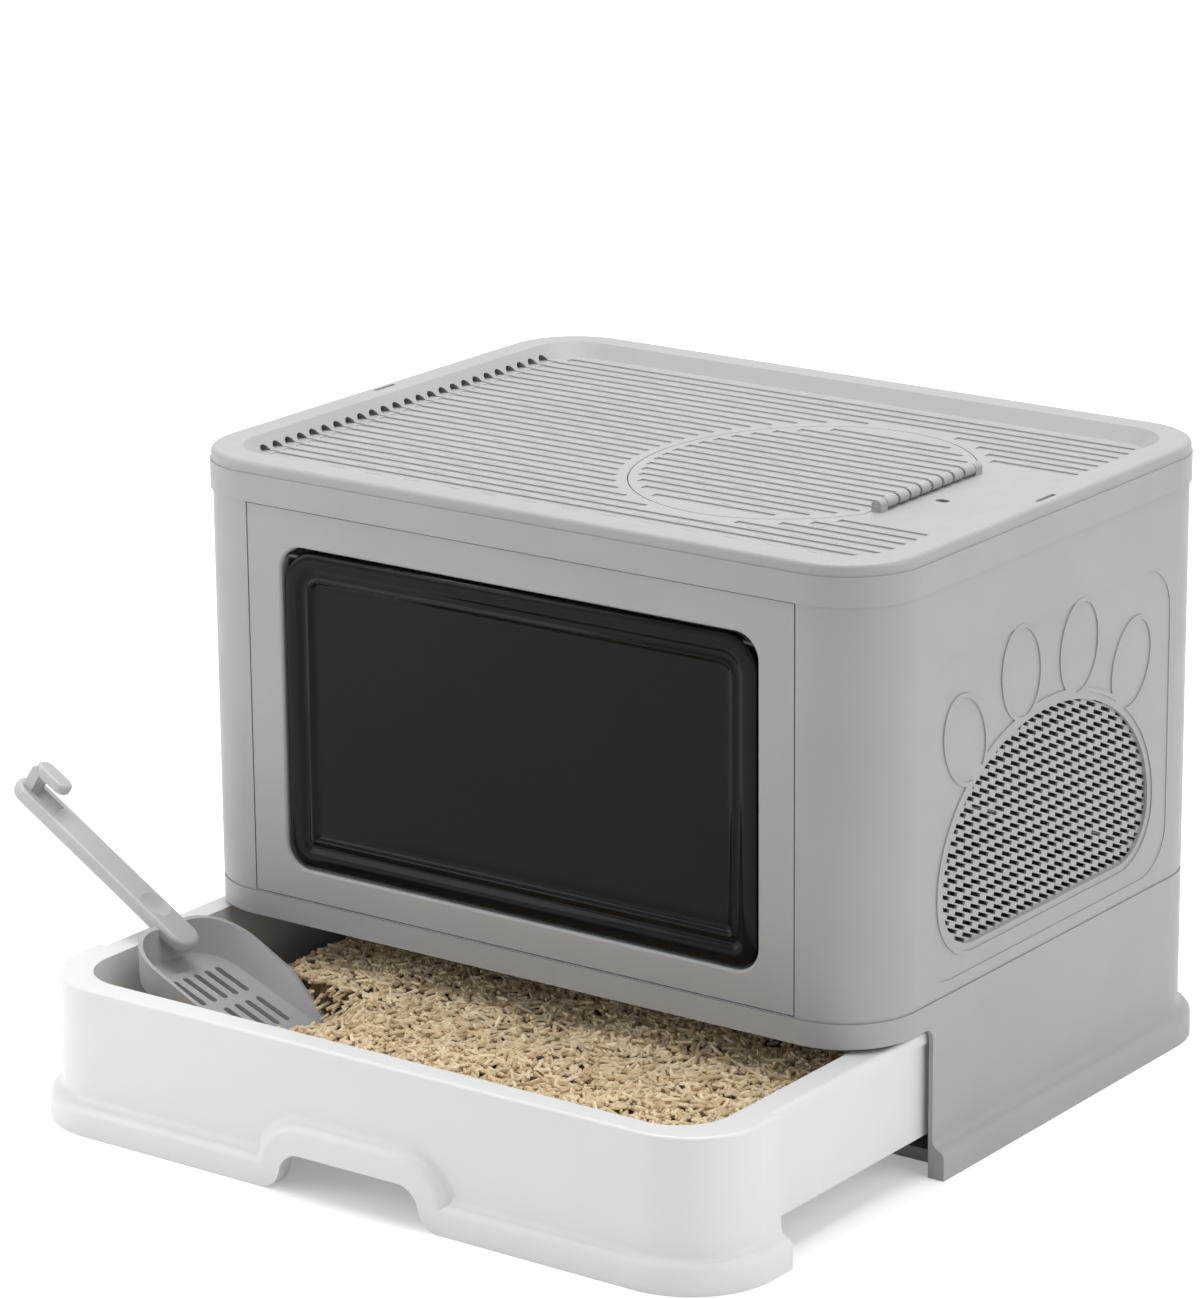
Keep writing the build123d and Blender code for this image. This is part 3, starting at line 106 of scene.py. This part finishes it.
# %% Satin polypropylene
def satin_polypropylene(name, dark, light, gloss, pebble_mm, pebble_depth):
    """Moulded plastic: slow tone drift, pebble bump and uneven sheen."""
    material, tree, place = new_finish(name)
    drift = add_node(tree, "ShaderNodeTexNoise", Vector=place, Scale=1 / (70 * MM), Detail=3.0)
    smear = add_node(tree, "ShaderNodeTexNoise", Vector=place, Scale=1 / (18 * MM), Detail=4.0)
    pebble = add_node(tree, "ShaderNodeTexNoise", Vector=place, Scale=1 / (pebble_mm * MM))
    tone = add_node(
        tree,
        "ShaderNodeMix",
        {"data_type": "RGBA"},
        _0=drift.outputs["Fac"],
        _6=linear(dark),
        _7=linear(light),
    )
    sheen = add_node(
        tree,
        "ShaderNodeMapRange",
        Value=smear.outputs["Fac"],
        From_Min=0.3,
        From_Max=0.7,
        To_Min=gloss - 0.05,
        To_Max=gloss + 0.06,
    )
    bump = add_node(
        tree,
        "ShaderNodeBump",
        Strength=0.35,
        Distance=pebble_depth * MM,
        Height=pebble.outputs["Fac"],
    )
    shader = add_node(
        tree,
        "ShaderNodeBsdfPrincipled",
        Base_Color=tone.outputs[2],
        Roughness=sheen.outputs["Result"],
        Normal=bump.outputs["Normal"],
        IOR=1.49,
    )
    add_node(tree, "ShaderNodeOutputMaterial", Surface=shader.outputs["BSDF"])
    return material


grey_polypropylene = satin_polypropylene(
    "polypropylene_grey_satin", "#9F9F9F", "#A9A9A9", 0.44, 0.7, 0.05
)
white_polypropylene = satin_polypropylene(
    "polypropylene_white_gloss", "#DEDEDE", "#E4E4E3", 0.33, 1.1, 0.008
)
scoop_polypropylene = satin_polypropylene(
    "polypropylene_scoop_grey", "#ADADAF", "#BBBBBD", 0.34, 0.9, 0.03
)
print("plastics:", grey_polypropylene.name, white_polypropylene.name, scoop_polypropylene.name)

# %% [markdown]
# ## Smoked flap door
#
# The flap is tinted clear plastic, polished on both sides. Against a dark inside it
# reads as almost black, with soft highlights along its ridges. A nearly black base
# that lets a little light through, under a weak reflection, gives that. A faint
# wave, 60 mm long, keeps the reflection from being as flat as glass, and wiping
# leaves 25 mm smears in the polish.

# %% Smoked polycarbonate
smoked_clear, tree, place = new_finish("polycarbonate_smoked_polished")
wave = add_node(tree, "ShaderNodeTexNoise", Vector=place, Scale=1 / (60 * MM), Detail=1.0)
wipe = add_node(tree, "ShaderNodeTexNoise", Vector=place, Scale=1 / (25 * MM), Detail=4.0)
tint = add_node(
    tree,
    "ShaderNodeMix",
    {"data_type": "RGBA"},
    _0=wipe.outputs["Fac"],
    _6=linear("#09090A"),
    _7=linear("#101011"),
)
polish = add_node(
    tree,
    "ShaderNodeMapRange",
    Value=wipe.outputs["Fac"],
    From_Min=0.3,
    From_Max=0.7,
    To_Min=0.06,
    To_Max=0.13,
)
bump = add_node(
    tree, "ShaderNodeBump", Strength=0.25, Distance=0.4 * MM, Height=wave.outputs["Fac"]
)
shader = add_node(
    tree,
    "ShaderNodeBsdfPrincipled",
    Base_Color=tint.outputs[2],
    Roughness=polish.outputs["Result"],
    Normal=bump.outputs["Normal"],
    IOR=1.58,
    Transmission_Weight=0.08,
    Specular_IOR_Level=0.06,
)
add_node(tree, "ShaderNodeOutputMaterial", Surface=shader.outputs["BSDF"])
print("flap finish:", smoked_clear.name)

# %% [markdown]
# ## Drawn steel wire
#
# The hinge pins and rods are cut from drawn wire. Drawing leaves fine lines along
# the length, here along X, so the noise is stretched that way. The pins and the
# hatch's rod stay bright. The flap's rod is blackened in an oxide bath, so that its
# ends don't glint beside the dark flap.


# %% Drawn steel
def steel_wire(name, dark, light, metal):
    """Drawn wire: tone and sheen follow fine lines along X. metal is 1 for bare steel."""
    material, tree, place = new_finish(name)
    along = add_node(tree, "ShaderNodeMapping", Vector=place, Scale=(0.03, 1.0, 1.0))
    lines = add_node(
        tree, "ShaderNodeTexNoise", Vector=along.outputs["Vector"], Scale=1 / (0.5 * MM), Detail=3.0
    )
    tone = add_node(
        tree,
        "ShaderNodeMix",
        {"data_type": "RGBA"},
        _0=lines.outputs["Fac"],
        _6=linear(dark),
        _7=linear(light),
    )
    sheen = add_node(
        tree, "ShaderNodeMapRange", Value=lines.outputs["Fac"], To_Min=0.20, To_Max=0.44
    )
    shader = add_node(
        tree,
        "ShaderNodeBsdfPrincipled",
        Base_Color=tone.outputs[2],
        Roughness=sheen.outputs["Result"],
        Metallic=metal,
    )
    add_node(tree, "ShaderNodeOutputMaterial", Surface=shader.outputs["BSDF"])
    return material


drawn_steel = steel_wire("steel_wire_drawn", "#8C8F92", "#CCCED0", 1.0)
black_steel = steel_wire("steel_wire_black_oxide", "#141415", "#232324", 0.0)
print("wire finishes:", drawn_steel.name, black_steel.name)

# %% [markdown]
# ## Dressing the CAD nodes
#
# Every moulding keeps its CAD shape, so it only needs its finish. The dictionary
# reads like a parts list: one finish for each group of nodes.

# %% Give each node its finish
parts_list = {
    grey_polypropylene: (
        "base_frame front_panel back_panel left_side_panel right_side_panel "
        "left_vent_grille right_vent_grille lid_cover top_hatch"
    ),
    white_polypropylene: "drawer_tray",
    scoop_polypropylene: "litter_scoop",
    smoked_clear: "flap_door",
    drawn_steel: "front_hinge_pins back_hinge_pins hatch_hinge_rod",
    black_steel: "flap_hinge_rod",
}
for finish, names in parts_list.items():
    for name in names.split():
        nodes[name].data.materials.clear()
        nodes[name].data.materials.append(finish)
print("dressed", sum(len(names.split()) for names in parts_list.values()), "nodes")

# %% [markdown]
# ## The litter's surface
#
# The pellets lie in a bed that slopes down to the scoop and is raked a little
# uneven. Both the bed and the pellets need the same height, so it is one function:
# a smooth step up from the thin layer under the scoop, plus a few low waves. The
# step's foot, the toe, lies at the pan's tip. In front of the pan the heap spills
# further left over the tip, and behind the pan it fills the tray's corner.

# %% Height of the litter
bed_low, bed_high = (np.array(corner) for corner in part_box("litter_fill"))
bed_middle = (bed_low + bed_high)[:2] / 2
bed_half = (bed_high - bed_low)[:2] / 2 - 2.5 * MM
THIN_TOP = bed_low[2] + 7.0 * MM
TOE, TOE_FRONT, TOE_BEHIND, RISE = -0.139, -0.205, -0.222, 0.058
PAN_FRONT, PAN_BEHIND = -0.292, -0.2105  # depths at which the toe steps to the left
SPREAD_FRONT, SPREAD_BEHIND = 0.011, 0.004  # how gently it does so
PAN_BACK_X, PAN_BACK_Z, PAN_TIP_X, PAN_TIP_Z = -0.218, 0.0785, -0.121, 0.040
PAN_NEAR_WALL, PAN_WALL, PAN_TAPER, WALL_HEIGHT = -0.307, -0.2065, 0.006, 0.015
PAN_START, PAN_STOP = -0.15, 1.03  # shares of the floor's length that count as pan


def litter_toe(y):
    """Where the heap starts: S-curves in y lead from the front to the tip and on behind the pan."""
    front = 1 / (1 + np.exp((y - PAN_FRONT) / SPREAD_FRONT))
    behind = 1 / (1 + np.exp(-(y - PAN_BEHIND) / SPREAD_BEHIND))
    return TOE + front * (TOE_FRONT - TOE) + behind * (TOE_BEHIND - TOE)


def litter_height(x, y):
    """Smooth step from the thin layer at the toe to the full bed, plus low waves."""
    share = np.clip((x - litter_toe(y)) / RISE, 0, 1)
    step = share * share * (3 - 2 * share)
    waves = 2.2 * np.sin(31 * x + 1.3) * np.cos(24 * y + 0.4) + 1.3 * np.sin(67 * x - 45 * y)
    full = bed_high[2] - 3.2 * MM + waves * MM
    return THIN_TOP + step * (full - THIN_TOP)


def pan_floor(x, y):
    """Height of the scoop's floor, the line of its rear wall, and whether the pan is over (x, y).

    The floor falls in a straight line along x, and the wall draws in towards the tip.
    """
    share = (x - PAN_BACK_X) / (PAN_TIP_X - PAN_BACK_X)
    wall = PAN_WALL - PAN_TAPER * np.clip(2 * share - 1, 0, 1)
    over = (share > PAN_START) & (share < PAN_STOP) & (y > PAN_NEAR_WALL) & (y < wall)
    return PAN_BACK_Z + share * (PAN_TIP_Z - PAN_BACK_Z), wall, over


def basin_reach(angle, grow=0.0):
    """Distance from the bed's middle to its rounded-rectangle edge: a superellipse."""
    a, b = bed_half + grow
    power = 9.0
    total = np.abs(np.cos(angle) / a) ** power + np.abs(np.sin(angle) / b) ** power
    return total ** (-1 / power)


print("litter between", THIN_TOP.round(4), "and", bed_high[2].round(4), "m")

# %% [markdown]
# ## Bed under the pellets
#
# Only the top few layers of pellets are real. Below them a closed bed of the same
# fibre stands for the imported pellets deep down, where no light reaches. Its darker
# tone is painted shade, so the gaps between the pellets read dark. It keeps below the
# scoop's floor. It is a grid of rings and angles: the rings go out from the middle,
# down the side and back in below, so the shape closes by itself.


# %% Mesh helper and bed
def make_piece(name, points, faces, finish, body):
    """Mesh from whole arrays, placed in the shared frame and riding on a body."""
    mesh = bpy.data.meshes.new(name)
    mesh.from_pydata(points, [], faces)
    mesh.update()
    mesh.materials.append(finish)
    piece = bpy.data.objects.new(name, mesh)
    bpy.context.scene.collection.objects.link(piece)
    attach(piece, body)
    return piece


def pressed_fibre(name, dark, light):
    """Pressed plant fibre: each pellet its own straw tone, dull, with a 1.4 mm fibrous skin."""
    material, tree, place = new_finish(name)
    tone = add_node(tree, "ShaderNodeAttribute", {"attribute_name": "tone"})
    fibre = add_node(tree, "ShaderNodeTexNoise", Vector=place, Scale=1 / (1.4 * MM), Detail=3.0)
    share = add_node(
        tree,
        "ShaderNodeMath",
        {"operation": "MULTIPLY_ADD"},
        _0=fibre.outputs["Fac"],
        _1=0.35,
        _2=tone.outputs["Fac"],
    )
    straw = add_node(
        tree,
        "ShaderNodeMix",
        {"data_type": "RGBA"},
        _0=share.outputs["Value"],
        _6=linear(dark),
        _7=linear(light),
    )
    bump = add_node(
        tree, "ShaderNodeBump", Strength=0.5, Distance=0.15 * MM, Height=fibre.outputs["Fac"]
    )
    shader = add_node(
        tree,
        "ShaderNodeBsdfPrincipled",
        Base_Color=straw.outputs[2],
        Roughness=0.78,
        Normal=bump.outputs["Normal"],
    )
    add_node(tree, "ShaderNodeOutputMaterial", Surface=shader.outputs["BSDF"])
    return material


pellet_fibre = pressed_fibre("plant_fibre_pressed_pellets", "#A07C46", "#FBEBC8")
# The bed's fibre is painted darker as shade: it stands for deep pellets that no light reaches.
shade_bed_fibre = pressed_fibre("plant_fibre_bed_painted_shade", "#3E2C16", "#6E5630")

RINGS, SPOKES = 60, 180
angle = np.linspace(0, 2 * np.pi, SPOKES, endpoint=False)
edge = basin_reach(angle)
direction = np.stack([np.cos(angle), np.sin(angle)], 1)
share = np.linspace(0.0, 1.0, RINGS)[1:, None, None]
flat = bed_middle + share * (edge[:, None] * direction)[None]
drop, below_pan = 4.2 * MM, 5.0 * MM
level = litter_height(flat[..., 0], flat[..., 1]) - drop
pan_level, _, over = pan_floor(flat[..., 0], flat[..., 1])
level = np.where(over, np.clip(pan_level - below_pan, bed_low[2] + MM, level), level)
top = np.dstack([flat, level])
foot = top[-1].copy()
foot[:, 2] = bed_low[2]
crown = [*bed_middle, litter_height(*bed_middle) - drop]
base_middle = [*bed_middle, bed_low[2]]
points = np.concatenate([top.reshape(-1, 3), foot, [crown, base_middle]])
ring, spoke = np.meshgrid(np.arange(RINGS - 1), np.arange(SPOKES), indexing="ij")
here, beside = ring * SPOKES + spoke, ring * SPOKES + (spoke + 1) % SPOKES
quads = np.stack([here, here + SPOKES, beside + SPOKES, beside], -1).reshape(-1, 4)
first, last = np.arange(SPOKES), (RINGS - 1) * SPOKES + np.arange(SPOKES)
fan_top = np.stack([np.full(SPOKES, len(points) - 2), first, np.roll(first, -1)], 1)
fan_foot = np.stack([np.full(SPOKES, len(points) - 1), np.roll(last, -1), last], 1)
bed = make_piece(
    "litter_bed",
    points.tolist(),
    quads.tolist() + fan_top.tolist() + fan_foot.tolist(),
    shade_bed_fibre,
    "drawer",
)
# One fixed tone for the whole bed, inside its painted-shade colours.
tone = bed.data.attributes.new("tone", "FLOAT", "POINT")
tone.data.foreach_set("value", np.full(len(points), 0.3, np.float32))
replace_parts(bed, "litter_fill")
print("bed:", len(points), "points")

# %% [markdown]
# ## Loose pellets
#
# A pellet is a short six-sided rod of pressed fibre, 2.2 mm thick and 6 to 11 mm
# long. Thousands are needed, so each has only eight faces, and all of a layer are
# worked out as one array: a unit rod is stretched to each length, tipped, turned and
# set down on the litter's height. The random numbers have a fixed seed, so the heap
# comes out the same every time.

# %% Scatter the pellets
SIDES = 6
LAYER = 1.7 * MM
SLICE_BELOW, SLICE_HALF = 1.5 * MM, 6.5 * MM  # middle and half height kept free at the pan
turn = np.arange(SIDES) * 2 * np.pi / SIDES
section = np.stack([np.zeros(SIDES), np.cos(turn), np.sin(turn)], 1)
unit_rod = np.concatenate([section + [-0.5, 0, 0], section + [0.5, 0, 0]])
side_faces = [[k, (k + 1) % SIDES, SIDES + (k + 1) % SIDES, SIDES + k] for k in range(SIDES)]
end_faces = [list(range(SIDES))[::-1], list(range(SIDES, 2 * SIDES))]


def scatter(seed, count, y_low, y_high, layers):
    """Pellet points and tones for a strip of the bed between two depths.

    Position: uniform in the strip, kept inside the basin edge. Axis: random heading,
    tipped by the bed's own slope plus a few degrees. Pellets that would cross the
    pan's floor, or its wall from behind, are left out.
    """
    chance = np.random.default_rng(seed)
    x = chance.uniform(bed_low[0], bed_high[0], count * 2)
    y = chance.uniform(y_low, y_high, count * 2)
    dx, dy = x - bed_middle[0], y - bed_middle[1]
    inside = np.hypot(dx, dy) < basin_reach(np.arctan2(dy, dx), -4.0 * MM)
    under_scoop = (x < litter_toe(y) + 0.004) & (chance.uniform(0, 1, x.size) > 0.25)
    keep = np.flatnonzero(inside & ~under_scoop)[:count]
    x, y = x[keep], y[keep]
    length = chance.uniform(5.5, 11.0, x.size) * MM
    thick = chance.uniform(0.95, 1.25, x.size) * MM
    heading = chance.uniform(0, 2 * np.pi, x.size)
    slope_x = (litter_height(x + 0.002, y) - litter_height(x - 0.002, y)) / 0.004
    tip = np.arctan(slope_x * np.cos(heading)) + chance.normal(0, 0.2, x.size)
    level = litter_height(x, y) - chance.uniform(0, layers, x.size) * LAYER
    floor, wall, over = pan_floor(x, y)
    clear = np.where(over, np.abs(level - floor + SLICE_BELOW) > SLICE_HALF, True)
    near_end = y - np.abs(np.sin(heading)) * length / 2
    in_wall = (y >= wall) & (near_end < wall) & (level < floor + WALL_HEIGHT) & (x < PAN_TIP_X)
    clear &= ~in_wall
    x, y, level, length, thick, heading, tip = (
        part[clear] for part in (x, y, level, length, thick, heading, tip)
    )
    along = np.stack([np.cos(heading) * np.cos(tip), np.sin(heading) * np.cos(tip), np.sin(tip)], 1)
    across = np.stack([-np.sin(heading), np.cos(heading), np.zeros_like(tip)], 1)
    upward = np.cross(along, across)
    axes = np.stack([along * length[:, None], across * thick[:, None], upward * thick[:, None]], 1)
    rods = np.einsum("ij,pjk->pik", unit_rod, axes) + np.stack([x, y, level], 1)[:, None]
    tones = np.clip(chance.normal(0.5, 0.17, x.size), 0.05, 0.95)
    return rods, tones


def lay_pellets(name, *strip):
    """One piece of many pellets, with a tone for each."""
    rods, tones = scatter(*strip)
    shift = np.arange(len(rods))[:, None] * 2 * SIDES
    sides = (np.array(side_faces).reshape(1, -1) + shift).reshape(-1, 4)
    ends = (np.array(end_faces).reshape(1, -1) + shift).reshape(-1, SIDES)
    faces = sides.tolist() + ends.tolist()
    piece = make_piece(
        name, rods.reshape(-1, 3).tolist(), faces, pellet_fibre, "drawer"
    )
    tone = piece.data.attributes.new("tone", "FLOAT", "POINT")
    tone.data.foreach_set("value", np.repeat(tones, 2 * SIDES).astype(np.float32))
    print(name, len(rods), "pellets")
    return piece


MOUTH_Y = -0.150
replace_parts(lay_pellets("pellets_front", 11, 8200, bed_low[1], MOUTH_Y, 2.6), "litter_fill")
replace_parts(lay_pellets("pellets_back", 12, 6500, MOUTH_Y, bed_high[1], 2.2), "litter_fill")

# %% [markdown]
# ## Flap moulding
#
# The CAD flap has the right size and steps, but its edges are crisp, and a polished
# black moulding lives from the light that runs along its soft ridges. So a piece of
# the same outline replaces it: a profile, from the back edge over the border and a
# small bead down to the field, carried round a rounded rectangle. Each point of the
# profile is one ring, so neighbouring rings make the faces.

# %% Carry the flap's profile round its outline
flap_low, flap_high = (np.array(corner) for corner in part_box("flap_door"))
FLAP_PROFILE = np.array(
    [
        (1.8, 6.0), (1.0, 6.0), (0.3, 5.7), (0.0, 5.0), (0.0, 2.4), (0.15, 1.5), (0.6, 0.7),
        (1.3, 0.2), (2.4, 0.0), (5.5, 0.0), (8.2, 0.05), (9.8, 0.3), (11.0, 0.8), (12.0, 1.3),
        (13.2, 1.55), (15.0, 1.55), (15.9, 1.3), (16.6, 1.0), (17.3, 0.95), (18.0, 1.3),
        (18.7, 2.0), (19.5, 2.7), (20.5, 3.1), (21.8, 3.2), (23.5, 3.2),
    ]
)  # inset from the edge and depth behind the front face, in mm
CORNER_STEPS = 12


def rounded_ring(inset, depth):
    """Rounded rectangle drawn in by inset: four quarter arcs about the corner centres."""
    half = (flap_high - flap_low)[[0, 2]] / 2 - inset
    middle = (flap_high + flap_low)[[0, 2]] / 2
    quarter = np.linspace(0, np.pi / 2, CORNER_STEPS)
    ring = []
    for turn_index, (sx, sz, radius) in enumerate(
        [(1, 1, 22.0), (-1, 1, 22.0), (-1, -1, 14.5), (1, -1, 14.5)]
    ):
        radius = max(radius * MM - 0.75 * inset, 2.5 * MM)
        sweep = quarter + turn_index * np.pi / 2
        centre = middle + np.array([sx, sz]) * (half - radius)
        ring.append(centre + radius * np.stack([np.cos(sweep), np.sin(sweep)], 1))
    ring = np.concatenate(ring)
    return np.stack([ring[:, 0], np.full(len(ring), flap_low[1] + depth), ring[:, 1]], 1)


rings = np.stack([rounded_ring(*(pair * MM)) for pair in FLAP_PROFILE])
count = rings.shape[1]
ring, spoke = np.meshgrid(np.arange(len(rings) - 1), np.arange(count), indexing="ij")
here, beside = ring * count + spoke, ring * count + (spoke + 1) % count
quads = np.stack([here, beside, beside + count, here + count], -1).reshape(-1, 4).tolist()
back_cap = np.arange(count)[::-1].tolist()
field_cap = ((len(rings) - 1) * count + np.arange(count)).tolist()
flap = make_piece(
    "flap_moulding",
    rings.reshape(-1, 3).tolist(),
    quads + [back_cap, field_cap],
    smoked_clear,
    "flap",
)
flap.data.shade_smooth()
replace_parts(flap, "flap_door")
print("flap:", len(rings), "rings of", count)

# %% [markdown]
# ## Grip dashes on the lid
#
# The ribs of the lid carry rows of low, staggered dashes that keep it from being
# slippery. They catch the light as short bright strokes. Each is half of a stretched egg on a small
# grid, and all of them are one array: the rows follow the ribs between the grooves.


# %% Dashes
EGG_ALONG, EGG_ACROSS = 7, 5


def low_eggs(middles, long, wide, high):
    """Upper halves of ellipsoids: cos and sin along and across, sin upwards, on a small grid."""
    u = np.linspace(0, np.pi, EGG_ALONG)[:, None]
    v = np.linspace(0, np.pi, EGG_ACROSS)[None]
    egg = np.stack(
        [
            long / 2 * np.cos(u) + 0 * v,
            wide / 2 * np.sin(u) * np.cos(v),
            high * np.sin(u) * np.sin(v),
        ],
        -1,
    ).reshape(-1, 3)
    return middles[:, None] + egg[None]


GROOVE_PITCH = 11.9 * MM
RIB_TOP = 373.5 * MM
DASH_PITCH, DASH_SHIFT, DASH_SINK = 29.0 * MM, 4.0 * MM, 0.05 * MM
DASH_LENGTH, DASH_WIDTH, DASH_HEIGHT = 17.0 * MM, 2.2 * MM, 0.55 * MM
FIELD_LEFT, FIELD_RIGHT, APRON_LEFT, APRON_HALF = -0.190, 0.205, 0.140, 0.084
HATCH_MIDDLE, HATCH_HALF = np.array([75.0, 0.0]) * MM, np.array([100.0, 115.0]) * MM
HATCH_INSIDE, HATCH_OUTSIDE = 0.86, 1.17  # shares of the half size, clear of the hatch's edge
row_index = np.arange(-13, 13)
along_index = np.arange(-7, 8)
row, step = np.meshgrid(row_index, along_index, indexing="ij")
dash_x = (step + 0.5 * (row % 2)) * DASH_PITCH - DASH_SHIFT
dash_y = (row + 0.5) * GROOVE_PITCH
dash_z = np.full(row.shape, RIB_TOP - DASH_SINK)
dashes = np.stack([dash_x, dash_y, dash_z], -1).reshape(-1, 3)
reach = np.linalg.norm((dashes[:, :2] - HATCH_MIDDLE) / HATCH_HALF, axis=1)
in_field = (dashes[:, 0] > FIELD_LEFT) & (dashes[:, 0] < FIELD_RIGHT)
on_apron = (dashes[:, 0] > APRON_LEFT) & (np.abs(dashes[:, 1]) < APRON_HALF)
on_lid = dashes[in_field & ~on_apron & (reach > HATCH_OUTSIDE)]
on_hatch = dashes[in_field & (reach < HATCH_INSIDE) & (dashes[:, 0] < APRON_LEFT)]
EGG_POINTS = EGG_ALONG * EGG_ACROSS
grid = np.arange(EGG_POINTS).reshape(EGG_ALONG, EGG_ACROSS)
cell = np.stack([grid[:-1, :-1], grid[1:, :-1], grid[1:, 1:], grid[:-1, 1:]], -1).reshape(-1, 4)
for name, places, body in (
    ("lid_grip_dashes", on_lid, "lid"),
    ("hatch_grip_dashes", on_hatch, "hatch"),
):
    eggs = low_eggs(places, DASH_LENGTH, DASH_WIDTH, DASH_HEIGHT)
    faces = (cell[None] + EGG_POINTS * np.arange(len(eggs))[:, None, None]).reshape(-1, 4)
    points = eggs.reshape(-1, 3).tolist()
    piece = make_piece(name, points, faces.tolist(), grey_polypropylene, body)
    piece.data.shade_smooth()
    print(name, len(eggs), "dashes")

# %% [markdown]
# ## Camera
#
# The camera stands where the photographer stood: about 3.4 m away with a long lens,
# 36 degrees to the right of the front and 16 degrees up. Its axes are worked out
# from these angles, and a small roll is added about the line of sight.

# %% Camera
AZIMUTH, ELEVATION, ROLL = np.radians([36.033, 16.424, -0.5])
backward = np.array(
    [np.sin(AZIMUTH) * np.cos(ELEVATION), -np.cos(AZIMUTH) * np.cos(ELEVATION), np.sin(ELEVATION)]
)
level_right = np.array([np.cos(AZIMUTH), np.sin(AZIMUTH), 0.0])
level_up = np.cross(backward, level_right)
right = level_right * np.cos(ROLL) + level_up * np.sin(ROLL)
upright = level_up * np.cos(ROLL) - level_right * np.sin(ROLL)
aim = np.array([-0.09974, 0.0310, 0.22544])
DISTANCE, FOCAL_PIXELS, PICTURE_HEIGHT, SENSOR_MM = 3.3737, 5351.7, 1299, 36.0
eye = aim + DISTANCE * backward
lens_data = bpy.data.cameras.new("photo_camera")
lens_data.sensor_width = SENSOR_MM
lens_data.lens = FOCAL_PIXELS * SENSOR_MM / PICTURE_HEIGHT
lens_data.clip_end = 60.0
camera = bpy.data.objects.new("photo_camera", lens_data)
pose = np.eye(4)
pose[:3] = np.stack([right, upright, backward, eye], 1)
camera.matrix_world = Matrix(pose.tolist())
bpy.context.scene.collection.objects.link(camera)
bpy.context.scene.camera = camera
print("camera lens", round(lens_data.lens, 1), "mm")

# %% [markdown]
# ## Floor and light
#
# The box stands on a white sweep. Camera rays that reach the floor see white, dimmed
# only where the box shades it, and the world behind is white too, so the background
# stays clean while the light on the box keeps a plain level. The floor's own glow
# grows with the distance from the box, where the lamps fade. Large soft panels shape
# it: a key from the right, a weaker fill from the left front, one overhead, and a
# small one high on the left whose reflection runs along the ridges of the flap.


# %% Floor
def seen_rays(tree):
    """1 for camera, glossy and transmission rays, which meet the white studio, or else 0."""
    path = add_node(tree, "ShaderNodeLightPath").outputs
    seen = path["Is Camera Ray"]
    for ray in ("Is Glossy Ray", "Is Transmission Ray"):
        either = add_node(tree, "ShaderNodeMath", {"operation": "MAXIMUM"}, _0=seen, _1=path[ray])
        seen = either.outputs["Value"]
    return seen


floor_material, tree, place = new_finish("paper_sweep_white")
fleck = add_node(tree, "ShaderNodeTexNoise", Vector=place, Scale=1 / (40 * MM), Detail=3.0)
paper = add_node(
    tree,
    "ShaderNodeMix",
    {"data_type": "RGBA"},
    _0=fleck.outputs["Fac"],
    _6=linear("#F3F3F3"),
    _7=linear("#F9F9F9"),
)
far = add_node(tree, "ShaderNodeVectorMath", {"operation": "LENGTH"}, _0=place)
lift = add_node(
    tree,
    "ShaderNodeMapRange",
    Value=far.outputs["Value"],
    From_Min=0.35,
    From_Max=2.6,
    To_Min=0.28,
    To_Max=0.8,
)
lift = add_node(
    tree,
    "ShaderNodeMath",
    {"operation": "MULTIPLY"},
    _0=lift.outputs["Result"],
    _1=seen_rays(tree),
)
shader = add_node(
    tree,
    "ShaderNodeBsdfPrincipled",
    Base_Color=paper.outputs[2],
    Roughness=0.9,
    Specular_IOR_Level=0.1,
    Emission_Color=(1, 1, 1, 1),
    Emission_Strength=lift.outputs["Value"],
)
add_node(tree, "ShaderNodeOutputMaterial", Surface=shader.outputs["BSDF"])
FLOOR_REACH = 9.0
floor_mesh = bpy.data.meshes.new("floor")
floor_corners = np.array([(-1, -1, 0), (1, -1, 0), (1, 1, 0), (-1, 1, 0)]) * FLOOR_REACH
floor_mesh.from_pydata(floor_corners.tolist(), [], [(0, 1, 2, 3)])
floor_mesh.materials.append(floor_material)
floor = bpy.data.objects.new("floor", floor_mesh)
bpy.context.scene.collection.objects.link(floor)
print("floor", 2 * FLOOR_REACH, "m across")

# %% World and lamps
world = bpy.data.worlds.new("studio")
bpy.context.scene.world = world
world.use_nodes = True
sky = world.node_tree
sky.nodes.clear()
ambient = add_node(sky, "ShaderNodeBackground", Color=linear("#F2F4F6"), Strength=0.40)
white = add_node(sky, "ShaderNodeBackground", Color=(1, 1, 1, 1), Strength=1.0)
mixed = add_node(
    sky,
    "ShaderNodeMixShader",
    _0=seen_rays(sky),
    _1=ambient.outputs["Background"],
    _2=white.outputs["Background"],
)
add_node(sky, "ShaderNodeOutputWorld", Surface=mixed.outputs["Shader"])


def soft_panel(name, place, aim_at, size, watts):
    """Square soft box at place, turned to face aim_at."""
    lamp = bpy.data.lights.new(name, "AREA")
    lamp.shape = "SQUARE"
    lamp.size = size
    lamp.energy = watts
    panel = bpy.data.objects.new(name, lamp)
    facing = (Vector(aim_at) - Vector(place)).to_track_quat("-Z", "Y")
    panel.matrix_world = Matrix.Translation(place) @ facing.to_matrix().to_4x4()
    bpy.context.scene.collection.objects.link(panel)
    return panel


soft_panel("key_right", (2.7, 0.1, 1.6), (0, 0, 0.2), 2.6, 34)
soft_panel("fill_left", (-1.1, -1.1, 0.6), (-0.1, 0, 0.2), 0.9, 6.5)
soft_panel("ridge_light", (-1.08, -0.71, 1.65), (0, -0.19, 0.2), 0.14, 3.0)
soft_panel("overhead", (-0.1, 0.3, 2.4), (0, 0, 0.3), 1.8, 49)
bpy.context.scene.view_settings.view_transform = "Standard"
